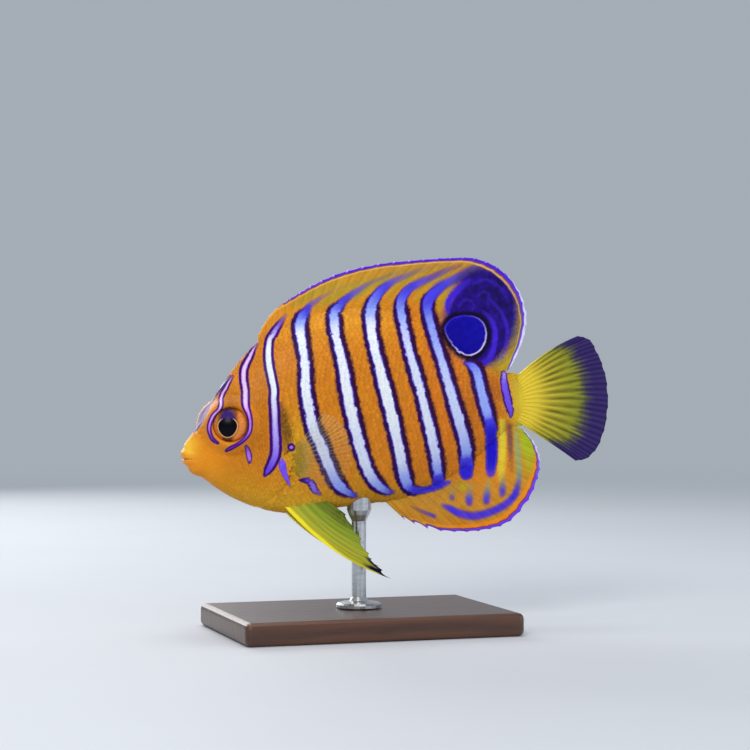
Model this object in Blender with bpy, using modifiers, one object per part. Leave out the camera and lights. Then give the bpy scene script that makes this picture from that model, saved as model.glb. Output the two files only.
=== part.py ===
# A regal angelfish at life size, swimming, held on a plain display stand.
# Metres, +Z up. The snout points to -X and the floor is at z = 0.
import math

import bmesh
import bpy
from mathutils import Matrix, Vector

MM = 0.001

# Driving sizes, in millimetres.
GAP = 0.3  # what touching nodes keep between them
BELT = 0.52  # height of the widest line, as a share of each section
FAR = 90.0  # past every part of the fish, for blocks that cut right through it

# The body's sections, snout to tail: back x and z, belly x and z, half width, and how sharply the
# section closes towards its back and its belly (1 is an ellipse, more is sharper).
SECTIONS = (
    (-48.9, 39.0, -48.9, 38.2, 0.0, 1.0, 1.0),
    (-49.1, 41.1, -48.6, 37.0, 1.8, 1.0, 1.0),
    (-47.9, 43.0, -47.3, 35.3, 2.7, 0.95, 1.0),
    (-46.1, 45.7, -44.9, 33.9, 3.7, 1.0, 1.0),
    (-43.3, 50.5, -41.4, 31.5, 4.9, 1.1, 1.0),
    (-39.6, 56.0, -38.0, 29.6, 5.8, 1.2, 1.0),
    (-34.3, 62.2, -32.6, 27.5, 6.9, 1.35, 1.0),
    (-27.0, 67.1, -25.8, 26.4, 7.4, 1.4, 1.0),
    (-17.5, 70.6, -17.5, 27.1, 7.5, 1.5, 1.05),
    (-7.0, 71.4, -8.2, 28.1, 7.1, 1.5, 1.15),
    (3.5, 69.1, 1.2, 29.1, 6.0, 1.5, 1.35),
    (12.8, 63.6, 10.5, 32.8, 4.6, 1.4, 1.4),
    (19.6, 58.9, 18.2, 38.2, 3.3, 1.25, 1.3),
    (23.9, 56.9, 23.3, 42.9, 2.5, 1.0, 1.0),
    (26.6, 56.8, 26.4, 44.6, 2.1, 1.0, 1.0),
    (28.6, 56.4, 28.6, 44.9, 1.5, 1.0, 1.0),
)
TAIL_TIP = 29.3  # where the fleshy stalk ends, under the roots of the tail rays
AROUND = 32  # points round each section
HEAD_STATIONS, TRUNK_STATIONS, STALK_STATIONS = 19, 14, 4  # rings along each stretch
HEAD_END, TRUNK_END = 6, 13  # the sections at which those stretches end

# The gill opening seen from the side, nape to throat. The gill cover stands proud of the shoulder.
GILL_LINE = (
    (-31.4, 68.0), (-31.4, 62.0), (-31.3, 56.5), (-30.7, 51.5), (-29.3, 46.9), (-27.9, 42.6), (-27.5, 38.2),
    (-28.4, 33.8), (-31.0, 30.0), (-34.4, 27.0), (-37.4, 23.0),
)
HEAD_BOX = ((-60.0, 23.0), (-60.0, 68.0))  # closes the gill line in front of the snout
COVER_RISE = 0.55
COVER_WIDTH = 4.2
COVER_MIDDLE, COVER_HALF = 40.0, 13.0  # the height that the raised edge is centred on, and its reach
STALK_START = 24.7

EYE_CENTRE = (-40.7, 45.8)
EYE_RADIUS = 3.75
EYE_DEPTH = 2.3
EYE_SUNK = 1.35
EYE_FACES = (-0.24, -0.96, 0.14)  # the way the left eye looks
RIM_RADIUS = 4.3
RIM_TUBE = 0.95
RIM_SUNK = 0.75
ORBIT_RISE, ORBIT_REACH = 1.3, 8.0  # the swelling that each eye sits in

MOUTH_Z = 38.4
LIP_GAP = 0.32
UPPER_LIP, LOWER_LIP = (1.0, -50.0), (0.7, -49.75)  # radius and front
MOUTH_REACH = 2.4  # how far the lips run back from the snout
MOUTH_SIDE = 1.9
NOSTRILS = ((-46.4, 43.7, 0.42), (-45.6, 44.9, 0.34))  # x, z, radius

CHEEK_SPINE = {
    "root": (-29.5, 38.6), "tip": (-27.3, 32.3), "lift": (0.0, 1.0),
    "radii": ((0.0, 0.25), (0.1, 0.6), (0.25, 0.8), (0.4, 0.72), (0.7, 0.45), (1.0, 0.2)),
}

ROD_X = -10.0
ROD = {
    "radius": 1.6, "faces": 24,
    # the saddle that the belly rests in, from its neck up; its top is cut to the belly
    "neck": 24.2, "saddle_low": (2.3, 25.6), "saddle_side": (2.7, 26.6), "saddle_top": 32.0,
    # the foot: radius and height above the base, from the rod down
    "foot": ((1.6, 2.2), (2.1, 1.4), (4.6, 1.0), (5.0, 0.6), (5.0, 0.0)),
}
BASE = {"length": 62.0, "width": 42.0, "height": 5.0, "bevel": 1.2, "bevel_steps": 3}

COLOURS = {
    "flesh": ((0.83, 0.40, 0.05), 0.42),
    "fin": ((0.80, 0.52, 0.06), 0.48),
    "clear_fin": ((0.72, 0.62, 0.16), 0.4),
    "eye": ((0.02, 0.015, 0.03), 0.12),
    "steel": ((0.62, 0.63, 0.65), 0.3),
    "wood": ((0.10, 0.05, 0.028), 0.45),
}


def clear_scene():
    for thing in list(bpy.data.objects):
        bpy.data.objects.remove(thing, do_unlink=True)
    parts = bpy.data.collections.new("regal_angelfish")
    cutters = bpy.data.collections.new("cutters")
    for collection in (parts, cutters):
        bpy.context.scene.collection.children.link(collection)
    return parts, cutters


def finish_of(name):
    colour, roughness = COLOURS[name]
    found = bpy.data.materials.get(name) or bpy.data.materials.new(name)
    found.use_nodes = True
    shader = found.node_tree.nodes["Principled BSDF"]
    shader.inputs["Base Color"].default_value = (*colour, 1)
    shader.inputs["Roughness"].default_value = roughness
    shader.inputs["Metallic"].default_value = 1.0 if name == "steel" else 0.0
    return found


def put(thing, collection, material=None):
    """Moves an object to a collection and gives it its material."""
    for old in list(thing.users_collection):
        old.objects.unlink(thing)
    collection.objects.link(thing)
    if material:
        thing.data.materials.clear()
        thing.data.materials.append(finish_of(material))
    return thing


def object_from(bm, name):
    mesh = bpy.data.meshes.new(name)
    bm.to_mesh(mesh)
    bm.free()
    thing = bpy.data.objects.new(name, mesh)
    bpy.context.scene.collection.objects.link(thing)
    return thing


def through(points, at):
    """A smooth curve through the points: at runs from 0 to len(points) - 1."""
    last = len(points) - 1
    i = min(max(int(at), 0), last - 1)
    t = at - i
    a, b, c, d = (points[min(max(j, 0), last)] for j in (i - 1, i, i + 1, i + 2))
    return tuple(
        0.5 * (2 * q + (r - p) * t + (2 * p - 5 * q + 4 * r - s) * t * t + (3 * q - p - 3 * r + s) * t**3)
        for p, q, r, s in zip(a, b, c, d)
    )


def along(points, share):
    return through(points, share * (len(points) - 1))


def section_point(at, turn):
    """A point of the body in mm. turn is 0 on the left flank, a quarter turn on the back."""
    back_x, back_z, low_x, low_z, half, sharp_back, sharp_low = through(SECTIONS, at)
    rise = math.sin(turn)
    mid_x = low_x + (back_x - low_x) * BELT
    mid_z = low_z + (back_z - low_z) * BELT
    share = (1 - BELT) if rise > 0 else BELT
    out = abs(math.cos(turn)) ** (sharp_back if rise > 0 else sharp_low)
    return Vector((
        mid_x + (back_x - low_x) * share * rise,
        -math.copysign(1, math.cos(turn)) * max(half, 0) * out,
        mid_z + (back_z - low_z) * share * rise,
    ))


def flank(x, z):
    """Half width of the body at a place seen from the side, in mm."""
    low, high = 0.0, len(SECTIONS) - 1.0
    for _ in range(40):
        at = (low + high) / 2
        back_x, back_z, low_x, low_z = through(SECTIONS, at)[:4]
        share = (z - low_z) / max(back_z - low_z, 1e-6)
        if low_x + (back_x - low_x) * share < x:
            low = at
        else:
            high = at
    half, sharp_back, sharp_low = through(SECTIONS, at)[4:]
    rise = (share - BELT) / ((1 - BELT) if share > BELT else BELT)
    out = math.sqrt(max(0.0, 1 - min(rise * rise, 1)))
    return half * out ** (sharp_back if rise > 0 else sharp_low)


def stations():
    """Where the rings lie along the sections, closer together on the head."""
    steps = [HEAD_END * (i / HEAD_STATIONS) ** 1.25 for i in range(1, HEAD_STATIONS + 1)]
    steps += [HEAD_END + (TRUNK_END - HEAD_END) * i / TRUNK_STATIONS for i in range(1, TRUNK_STATIONS + 1)]
    last = len(SECTIONS) - 1
    steps += [TRUNK_END + (last - TRUNK_END) * i / STALK_STATIONS for i in range(1, STALK_STATIONS + 1)]
    return steps


def gill_line(grow=0.0):
    """The gill opening as a smooth line in mm, moved out from the head by grow."""
    steps = 4 * (len(GILL_LINE) - 1)
    places = [Vector(through(GILL_LINE, i / 4)) for i in range(steps + 1)]
    moved = []
    for i, place in enumerate(places):
        way = (places[min(i + 1, steps)] - places[max(i - 1, 0)]).normalized()
        moved.append(place + Vector((-way.y, way.x)) * grow)
    return moved


def cover_rise(x, z, line):
    """How far the gill cover lifts the head's skin towards the gill opening."""
    near = min((place - Vector((x, z))).length for place in line)
    share = min(max(1 - near / COVER_WIDTH, 0), 1)
    reach = min(max(1 - abs(z - COVER_MIDDLE) / COVER_HALF, 0) * 2.0, 1)
    return COVER_RISE * share * share * (3 - 2 * share) * reach


def orbit_rise(x, z):
    """How far the swelling round the eye lifts the head's skin."""
    share = max(1 - math.hypot(x - EYE_CENTRE[0], z - EYE_CENTRE[1]) / ORBIT_REACH, 0)
    return ORBIT_RISE * share * share * (3 - 2 * share)


def body_form(name, grow=0.0, cover=False):
    """The whole fleshy body: a sphere whose rings are drawn out to the sections."""
    rings = stations()
    line = gill_line() if cover else None
    bm = bmesh.new()
    bmesh.ops.create_uvsphere(bm, u_segments=AROUND, v_segments=len(rings) + 1, radius=1)
    for vert in bm.verts:
        ring = round(math.acos(max(-1, min(1, vert.co.z))) / math.pi * (len(rings) + 1))
        turn = math.atan2(vert.co.y, vert.co.x)
        if ring == 0:
            place = Vector((SECTIONS[0][0], 0, (SECTIONS[0][1] + SECTIONS[0][3]) / 2))
        elif ring > len(rings):
            place = Vector((TAIL_TIP, 0, (SECTIONS[-1][1] + SECTIONS[-1][3]) / 2))
        else:
            place = section_point(rings[ring - 1], turn)
        if cover and abs(place.y) > 0.5:
            rise = cover_rise(place.x, place.z, line) + orbit_rise(place.x, place.z)
            place.y += math.copysign(rise, place.y)
        vert.co = place * MM
    bmesh.ops.triangulate(bm, faces=bm.faces[:])
    bmesh.ops.recalc_face_normals(bm, faces=bm.faces[:])
    bm.normal_update()
    if grow:
        for vert in bm.verts:
            vert.co += vert.normal * grow * MM
    return object_from(bm, name)


def boolean(thing, other, operation, keep_other=False):
    """Applies one Boolean and keeps only the largest closed surface."""
    modifier = thing.modifiers.new("fit", "BOOLEAN")
    modifier.operation = operation
    modifier.solver = "MANIFOLD"
    if isinstance(other, bpy.types.Collection):
        modifier.operand_type = "COLLECTION"
        modifier.collection = other
    else:
        modifier.object = other
    bpy.context.view_layer.update()
    graph = bpy.context.evaluated_depsgraph_get()
    mesh = bpy.data.meshes.new_from_object(thing.evaluated_get(graph))
    thing.modifiers.clear()
    old, thing.data = thing.data, mesh
    bpy.data.meshes.remove(old)
    if not keep_other:
        spent = list(other.objects) if isinstance(other, bpy.types.Collection) else [other]
        for gone in spent:
            bpy.data.objects.remove(gone, do_unlink=True)
        if isinstance(other, bpy.types.Collection):
            bpy.data.collections.remove(other)
    return keep_largest(thing)


def keep_largest(thing):
    bm = bmesh.new()
    bm.from_mesh(thing.data)
    bmesh.ops.remove_doubles(bm, verts=bm.verts[:], dist=8e-6)
    left = set(bm.verts)
    shells = []
    while left:
        edge = [left.pop()]
        shell = set(edge)
        while edge:
            vert = edge.pop()
            for link in vert.link_edges:
                other = link.other_vert(vert)
                if other in left:
                    left.discard(other)
                    shell.add(other)
                    edge.append(other)
        shells.append(shell)
    largest = max(shells, key=len)
    bmesh.ops.delete(bm, geom=[v for v in bm.verts if v not in largest], context="VERTS")
    bm.to_mesh(thing.data)
    bm.free()
    return thing


def group_of(name, things):
    group = bpy.data.collections.new(name)
    bpy.context.scene.collection.children.link(group)
    for thing in things:
        put(thing, group)
    return group


def head_block(name, grow=0.0):
    """The block that parts head from shoulder: the gill line, closed in front and pushed through."""
    curve = bpy.data.curves.new(name, "CURVE")
    curve.dimensions = "2D"
    curve.fill_mode = "BOTH"
    curve.extrude = FAR * MM
    line = curve.splines.new("POLY")
    outline = [tuple(place) for place in gill_line(grow)] + list(HEAD_BOX)
    line.points.add(len(outline) - 1)
    for knot, (x, z) in zip(line.points, outline):
        knot.co = (x * MM, z * MM, 0, 1)
    line.use_cyclic_u = True
    solid = solid_from(curve, name)
    solid.data.transform(Matrix.Rotation(math.pi / 2, 4, "X"))
    return solid


def solid_from(curve, name):
    """The closed mesh of a curve object."""
    guide = bpy.data.objects.new(name + "_guide", curve)
    bpy.context.scene.collection.objects.link(guide)
    bpy.context.view_layer.update()
    mesh = bpy.data.meshes.new_from_object(guide.evaluated_get(bpy.context.evaluated_depsgraph_get()))
    bpy.data.objects.remove(guide, do_unlink=True)
    bm = bmesh.new()
    bm.from_mesh(mesh)
    bmesh.ops.remove_doubles(bm, verts=bm.verts[:], dist=1e-6)
    bmesh.ops.recalc_face_normals(bm, faces=bm.faces[:])
    bpy.data.meshes.remove(mesh)
    return object_from(bm, name)


def block(name, low, high):
    """A plain box between two corners, in mm."""
    centre = [(a + b) / 2 * MM for a, b in zip(low, high)]
    bpy.ops.mesh.primitive_cube_add(size=1, location=centre)
    thing = bpy.context.object
    thing.name = name
    thing.scale = [(b - a) * MM for a, b in zip(low, high)]
    bpy.ops.object.transform_apply(location=False, rotation=False, scale=True)
    return thing


def tube(name, points, radius, resolution=2, radii=None):
    """A round bar along points in mm, as a closed mesh. radii scales it at each point."""
    curve = bpy.data.curves.new(name, "CURVE")
    curve.dimensions = "3D"
    curve.bevel_depth = radius * MM
    curve.bevel_resolution = resolution
    curve.use_fill_caps = True
    line = curve.splines.new("POLY")
    line.points.add(len(points) - 1)
    for i, (knot, point) in enumerate(zip(line.points, points)):
        knot.co = (*(c * MM for c in point), 1)
        knot.radius = radii[i] if radii else 1.0
    return solid_from(curve, name)


def lip(name, size, way):
    """A lip: a round bar bent round the snout from one corner of the mouth to the other."""
    radius, front = size
    count = 12
    points = []
    for i in range(count + 1):
        turn = math.pi * i / count
        back = (1 - math.sin(turn)) ** 1.4
        points.append((
            front + radius + MOUTH_REACH * back,
            -MOUTH_SIDE * math.cos(turn) * (1 + 0.12 * back),
            MOUTH_Z + way * (radius + LIP_GAP / 2) * (1 - 0.55 * back) - 0.25 * back,
        ))
    return tube(name, points, radius)


def eye_place(side):
    look = Vector((EYE_FACES[0], EYE_FACES[1] * side, EYE_FACES[2])).normalized()
    x, z = EYE_CENTRE
    surface = Vector((x, -side * (flank(x, z) + ORBIT_RISE), z))
    return surface, look


def eye_ball(name, side, grow=0.0):
    surface, look = eye_place(side)
    bpy.ops.mesh.primitive_uv_sphere_add(segments=24, ring_count=12, radius=1)
    ball = bpy.context.object
    ball.name = name
    wide, deep = (EYE_RADIUS + grow) * MM, (EYE_DEPTH + grow) * MM
    ball.data.transform(Matrix.Diagonal((wide, wide, deep, 1)))
    ball.rotation_mode = "QUATERNION"
    ball.rotation_quaternion = look.to_track_quat("Z", "Y")
    ball.location = (surface - look * EYE_SUNK) * MM
    bpy.context.view_layer.update()
    return ball


def eye_rim(name, side):
    surface, look = eye_place(side)
    bpy.ops.mesh.primitive_torus_add(
        major_segments=28, minor_segments=8, major_radius=RIM_RADIUS * MM, minor_radius=RIM_TUBE * MM,
    )
    rim = bpy.context.object
    rim.name = name
    rim.rotation_mode = "QUATERNION"
    rim.rotation_quaternion = look.to_track_quat("Z", "Y")
    rim.location = (surface - look * RIM_SUNK) * MM
    return rim


def cheek_spine(name, side, grow=0.0):
    """The long spine at the corner of the cheek, lying over the shoulder."""
    (root_x, root_z), (tip_x, tip_z) = CHEEK_SPINE["root"], CHEEK_SPINE["tip"]
    points, radii = [], []
    for share, radius in CHEEK_SPINE["radii"]:
        x, z = root_x + (tip_x - root_x) * share, root_z + (tip_z - root_z) * share
        lift = CHEEK_SPINE["lift"][0] + (CHEEK_SPINE["lift"][1] - CHEEK_SPINE["lift"][0]) * share
        points.append((x, -side * (flank(x, z) + lift), z))
        radii.append(radius + grow)
    return tube(name, points, 1.0, radii=radii)


def head(parts):
    skull = body_form("head", cover=True)
    boolean(skull, head_block("head_shape"), "INTERSECT")
    added = [lip("upper_lip", UPPER_LIP, 1), lip("lower_lip", LOWER_LIP, -1)]
    for side in (1, -1):
        added.append(eye_rim(f"rim_{side}", side))
        added.append(cheek_spine(f"spine_{side}", side))
    boolean(skull, group_of("head_pieces", added), "UNION")
    for side in (1, -1):
        boolean(skull, eye_ball("socket", side, GAP), "DIFFERENCE")
        for x, z, radius in NOSTRILS:
            bpy.ops.mesh.primitive_uv_sphere_add(
                segments=8, ring_count=6, radius=radius * MM,
                location=(x * MM, -side * flank(x, z) * MM, z * MM),
            )
            boolean(skull, bpy.context.object, "DIFFERENCE")
    return put(skull, parts, "flesh")


def trunk(parts):
    body = body_form("body")
    boolean(body, head_block("head_room", GAP), "DIFFERENCE")
    boolean(body, block("tail_cut", (STALK_START, -FAR, 0), (FAR, FAR, FAR)), "DIFFERENCE")
    for side in (1, -1):
        boolean(body, cheek_spine("spine_groove", side, GAP), "DIFFERENCE")
    return put(body, parts, "flesh")


def tail_stalk(parts):
    stalk = body_form("tail_stalk")
    boolean(stalk, block("body_cut", (-FAR, -FAR, 0), (STALK_START + GAP, FAR, FAR)), "DIFFERENCE")
    return put(stalk, parts, "flesh")


def fin_form(name, roots, tips, fin, bow=None):
    """A fin: a plate from its root line to its margin, thicker along each ray, in mm.

    bow bends a ray out of its straight line. The fin's own reach lets each ray run past the
    membrane, and its lead thickens the first ray.
    """
    rays, rows, thick = fin["rays"], fin["rows"], fin["thick"]
    reach, lead = fin["reach"], fin.get("lead", 0.0)
    columns = 2 * (rays - 1)
    bm = bmesh.new()
    bmesh.ops.create_grid(bm, x_segments=columns, y_segments=rows, size=0.5)
    bmesh.ops.triangulate(bm, faces=bm.faces[:])
    top = bmesh.ops.extrude_face_region(bm, geom=bm.faces[:])["geom"]
    upper = {v for v in top if isinstance(v, bmesh.types.BMVert)}

    def middle(across, out):
        root = Vector(along(roots, across))
        tip = Vector(along(tips, across))
        place = root.lerp(tip, out)
        if bow:
            place += Vector(bow(across)) * 4 * out * (1 - out)
        return place

    spots = {}
    for vert in bm.verts:
        across, out = vert.co.x + 0.5, vert.co.y + 0.5
        column = round(across * columns)
        on_ray = column % 2 == 0
        place = middle(across, out)
        step = 0.01
        over = middle(min(across + step, 1), out) - middle(max(across - step, 0), out)
        away = middle(across, min(out + step, 1)) - middle(across, max(out - step, 0))
        normal = over.cross(away).normalized()
        if out > 0.999 and on_ray and reach:
            place += away.normalized() * reach
        half = thick[0] + (thick[1] - thick[0]) * min(1, out * 1.15) ** 0.7
        if on_ray:
            half += thick[2] * (1 - 0.55 * out)
            half += lead * (1 - 0.8 * out) * (column == 0)
        spots[vert] = place + normal * half * (1 if vert in upper else -1)
    for vert, spot in spots.items():
        vert.co = spot * MM
    bmesh.ops.recalc_face_normals(bm, faces=bm.faces[:])
    return object_from(bm, name)


def midline(points, y=0.0):
    """Points seen from the side, put on the midline."""
    return [(x, y, z) for x, z in points]


# Each fin's root line is sunk in the body, and its tips run round its margin. In mm, from the side.
# thick is the half thickness at the root, at the margin and what a ray adds.
MEDIAN_FINS = {
    "dorsal_fin": {
        "root": (
            (-32.4, 60.6), (-26.5, 65.0), (-17.5, 68.6), (-7.4, 69.4), (2.6, 67.0), (11.6, 61.6),
            (22.4, 54.8),
        ),
        "tips": (
            (-33.0, 65.0), (-29.9, 69.8), (-26.2, 72.7), (-20.8, 75.9), (-14.2, 78.8), (-5.8, 80.8),
            (2.8, 81.8), (10.4, 82.4), (17.4, 82.4), (23.6, 79.9), (27.8, 75.4), (29.7, 69.8),
            (28.9, 64.2), (26.4, 58.8),
        ),
        "rays": 32, "rows": 5, "thick": (0.85, 0.25, 0.17), "reach": 0.35, "material": "fin",
    },
    "anal_fin": {
        "root": (
            (-6.6, 31.0), (0.0, 31.6), (6.4, 33.4), (12.0, 36.4), (17.0, 40.4), (20.4, 44.2), (23.4, 46.6),
        ),
        "tips": (
            (0.6, 24.3), (6.6, 22.1), (13.6, 21.4), (19.8, 21.7), (25.4, 23.4), (30.2, 28.4),
            (32.6, 33.8), (32.9, 37.6), (31.5, 41.2), (29.2, 43.8),
        ),
        "rays": 21, "rows": 5, "thick": (0.85, 0.25, 0.17), "reach": 0.3, "material": "fin",
    },
    "tail_fin": {
        "root": ((27.0, 55.6), (27.9, 53.4), (28.1, 50.8), (27.9, 48.2), (27.0, 46.0)),
        "tips": (
            (42.8, 64.8), (45.3, 63.2), (47.4, 60.2), (49.0, 56.8), (49.75, 51.6), (49.3, 46.4),
            (47.6, 41.6), (45.0, 38.8), (42.2, 37.3),
        ),
        "rays": 17, "rows": 6, "thick": (0.9, 0.25, 0.2), "reach": 0.25, "material": "clear_fin",
        "bow": (0.65, 0.35),  # how far the rays arch upward, and how much more at the top
    },
}
PECTORAL = {
    "root_top": (-26.7, 40.9), "root_low": (-26.4, 35.4), "root_sunk": 0.5,
    "swing": math.radians(46),  # how far it stands out from the flank
    # along the fin, and up from the root
    "tips": (
        (6.4, 7.2), (9.6, 7.3), (12.2, 5.7), (13.6, 3.2),
        (13.8, 0.4), (12.6, -2.0), (10.0, -3.2), (7.0, -3.2),
    ),
    "rays": 14, "rows": 5, "thick": (0.42, 0.25, 0.12), "reach": 0.2, "bow": (0.35, 0.9),
}
# Leading ray first: x, z and how far out from the midline.
PELVIC = {
    "root": (
        (-27.6, 27.8, 2.0), (-25.8, 28.2, 2.3), (-24.0, 28.6, 2.5), (-22.2, 28.9, 2.5), (-20.4, 29.1, 2.4),
        (-18.8, 29.3, 2.2),
    ),
    "tips": (
        (-4.6, 11.9, 5.4), (-5.5, 14.0, 5.3), (-9.3, 17.8, 4.9), (-11.1, 20.7, 4.5), (-12.8, 23.4, 4.0),
        (-14.3, 26.0, 3.4),
    ),
    "rays": 6, "rows": 8, "thick": (0.45, 0.25, 0.15), "reach": 0.3, "lead": 0.15, "bow": (0.9, 0.3, 1.7),
    "lift": {"left": 0.0, "right": math.radians(4)},  # the right fin is held a little closer to the belly
}


def fit_fin(parts, flesh, name, roots, tips, fin, material, bow=None):
    """Makes a fin and cuts it back to the gap that it keeps to the body."""
    solid = fin_form(name, roots, tips, fin, bow)
    boolean(solid, flesh, "DIFFERENCE", keep_other=True)
    return put(solid, parts, material)


def median_fin(parts, flesh, name):
    fin = MEDIAN_FINS[name]
    bow = None
    if "bow" in fin:
        lift, more = fin["bow"]

        def bow(across):
            return (0.0, 0.0, lift + more * (1 - 2 * across))

    roots, tips = midline(fin["root"]), midline(fin["tips"])
    return fit_fin(parts, flesh, name, roots, tips, fin, fin["material"], bow)


def pectoral_fin(parts, flesh, name, side):
    swing = PECTORAL["swing"]
    bow_back, bow_out = PECTORAL["bow"]
    roots, tips = [], []
    count = len(PECTORAL["tips"])
    for i, (back, up) in enumerate(PECTORAL["tips"]):
        share = i / (count - 1)
        x = PECTORAL["root_top"][0] + (PECTORAL["root_low"][0] - PECTORAL["root_top"][0]) * share
        z = PECTORAL["root_top"][1] + (PECTORAL["root_low"][1] - PECTORAL["root_top"][1]) * share
        out = flank(x, z)
        roots.append((x, -side * (out - PECTORAL["root_sunk"]), z))
        tips.append((
            x + back * math.cos(swing),
            -side * (out + back * math.sin(swing)),
            z + up,
        ))

    def bow(across):
        return (bow_back, -side * bow_out, 0.0)

    return fit_fin(parts, flesh, name, roots, tips, PECTORAL, "clear_fin", bow)


def pelvic_fin(parts, flesh, name, side):
    pivot = Vector(PELVIC["root"][0][:2])
    turn = Matrix.Rotation(PELVIC["lift"]["left" if side > 0 else "right"], 2)
    bow_back, bow_out, bow_down = PELVIC["bow"]
    roots = [(x, -side * y, z) for x, z, y in PELVIC["root"]]
    tips = []
    for x, z, y in PELVIC["tips"]:
        place = pivot + turn @ (Vector((x, z)) - pivot)
        tips.append((place.x, -side * y, place.y))

    def bow(across):
        return (-bow_back * (1 - across), -side * bow_out, -bow_down * (1 - across))

    return fit_fin(parts, flesh, name, roots, tips, PELVIC, "clear_fin", bow)


def eye(parts, name, side):
    return put(eye_ball(name, side), parts, "eye")


def stand(parts, flesh):
    foot = BASE["height"] + GAP
    top = ROD["saddle_top"]
    profile = [(0.0, top), (ROD["saddle_side"][0], top), ROD["saddle_side"], ROD["saddle_low"]]
    profile += [(ROD["radius"], ROD["neck"])]
    profile += [(radius, foot + height) for radius, height in ROD["foot"]]
    profile += [(0.0, foot)]
    bm = bmesh.new()
    verts = [bm.verts.new((r * MM, 0, z * MM)) for r, z in profile]
    for a, b in zip(verts, verts[1:]):
        bm.edges.new((a, b))
    rod = object_from(bm, "stand_rod")
    rod.location.x = ROD_X * MM
    turn = rod.modifiers.new("turn", "SCREW")
    turn.steps = turn.render_steps = ROD["faces"]
    turn.use_merge_vertices = True
    turn.merge_threshold = 1e-6
    boolean(rod, flesh, "DIFFERENCE", keep_other=True)
    put(rod, parts, "steel")
    half_length, half_width = BASE["length"] / 2, BASE["width"] / 2
    low = (ROD_X - half_length, -half_width, 0)
    base = block("stand_base", low, (ROD_X + half_length, half_width, BASE["height"]))
    edge = base.modifiers.new("edge", "BEVEL")
    edge.width = BASE["bevel"] * MM
    edge.segments = BASE["bevel_steps"]
    put(base, parts, "wood")


def main():
    parts, cutters = clear_scene()
    flesh = body_form("flesh_grown", grow=GAP)
    flesh.hide_render = True
    flesh.display_type = "WIRE"
    put(flesh, cutters)
    head(parts)
    trunk(parts)
    tail_stalk(parts)
    for name in MEDIAN_FINS:
        median_fin(parts, flesh, name)
    for name, side in (("left", 1), ("right", -1)):
        eye(parts, f"eye_{name}", side)
        pectoral_fin(parts, flesh, f"pectoral_fin_{name}", side)
        pelvic_fin(parts, flesh, f"pelvic_fin_{name}", side)
    stand(parts, flesh)
    for thing in parts.objects:
        thing.data.shade_smooth()
        thing.data.set_sharp_from_angle(angle=math.radians(40))


main()
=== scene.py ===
# Looks of a regal angelfish on its stand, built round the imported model, in mm until a piece is made
import math

import bpy
import numpy as np
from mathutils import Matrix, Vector


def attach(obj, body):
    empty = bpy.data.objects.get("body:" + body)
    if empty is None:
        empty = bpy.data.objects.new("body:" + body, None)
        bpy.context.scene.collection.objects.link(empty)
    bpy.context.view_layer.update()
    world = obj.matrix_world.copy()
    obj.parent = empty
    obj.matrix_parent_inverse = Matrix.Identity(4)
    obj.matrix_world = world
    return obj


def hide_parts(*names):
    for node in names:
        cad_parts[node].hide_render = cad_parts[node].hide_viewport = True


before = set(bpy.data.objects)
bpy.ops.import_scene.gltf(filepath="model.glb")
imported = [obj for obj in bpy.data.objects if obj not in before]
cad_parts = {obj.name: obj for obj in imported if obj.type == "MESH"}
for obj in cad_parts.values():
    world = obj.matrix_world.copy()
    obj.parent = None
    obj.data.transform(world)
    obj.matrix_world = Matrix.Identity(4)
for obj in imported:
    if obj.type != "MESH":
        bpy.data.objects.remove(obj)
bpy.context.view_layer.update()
mm = 0.001
rng = np.random.default_rng(11)
sides = (("left", 1), ("right", -1))


# Curves and distances
def through(points, at):
    # smooth curve through the points, at runs from 0 to len(points) - 1
    points = np.asarray(points, float)
    at = np.asarray(at, float)
    last = len(points) - 1
    i = np.clip(np.floor(at).astype(int), 0, last - 1)
    t = (at - i)[..., None]
    a, b, c, d = (points[np.clip(i + k, 0, last)] for k in (-1, 0, 1, 2))
    return 0.5 * (2 * b + (c - a) * t + (2 * a - 5 * b + 4 * c - d) * t**2 + (3 * b - a - 3 * c + d) * t**3)


def alongLine(points, share):
    return through(points, share * (len(points) - 1))


def smoothLine(points, steps=6):
    return through(points, np.linspace(0, len(points) - 1, (len(points) - 1) * steps + 1))


def pathAt(path, at):
    # the path's values at places counted in its points
    low = np.clip(at.astype(int), 0, len(path) - 2)
    return path[low] + (path[low + 1] - path[low]) * (at - low)[:, None]


def ease(share):
    share = np.clip(share, 0, 1)
    return share * share * (3 - 2 * share)


def between(first, last, share):
    return first + (last - first) * share


def unit(vectors):
    return vectors / np.maximum(np.linalg.norm(vectors, axis=-1, keepdims=True), 1e-9)


def nearLine(spots, line, reach, blunt=1.0):
    # which spots lie near the line, how far (counted blunt times past its ends), on which side (+1 is left of
    # its way down the frame), and where along it
    low, high = line[:, :2].min(0) - reach, line[:, :2].max(0) + reach
    near = np.flatnonzero(((spots > low) & (spots < high)).all(1))
    here = spots[near]
    best, side, at = np.full(len(near), 1e9), np.zeros(len(near)), np.zeros(len(near))
    last = len(line) - 2
    for i in range(last + 1):
        step = line[i + 1, :2] - line[i, :2]
        rel = here - line[i, :2]
        size = max(np.linalg.norm(step), 1e-9)
        run = rel @ step / size
        share = np.clip(run / size, 0, 1)
        past = np.where(run < 0, -run if i == 0 else 0, np.maximum(run - size, 0) if i == last else 0)
        gap = np.sqrt(((rel - share[:, None] * step) ** 2).sum(1) + (blunt**2 - 1) * past**2)
        closer = gap < best
        best[closer] = gap[closer]
        side[closer] = (step[0] * rel[:, 1] - step[1] * rel[:, 0])[closer]
        at[closer] = i + share[closer]
    return near, best, np.sign(side), at


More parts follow.
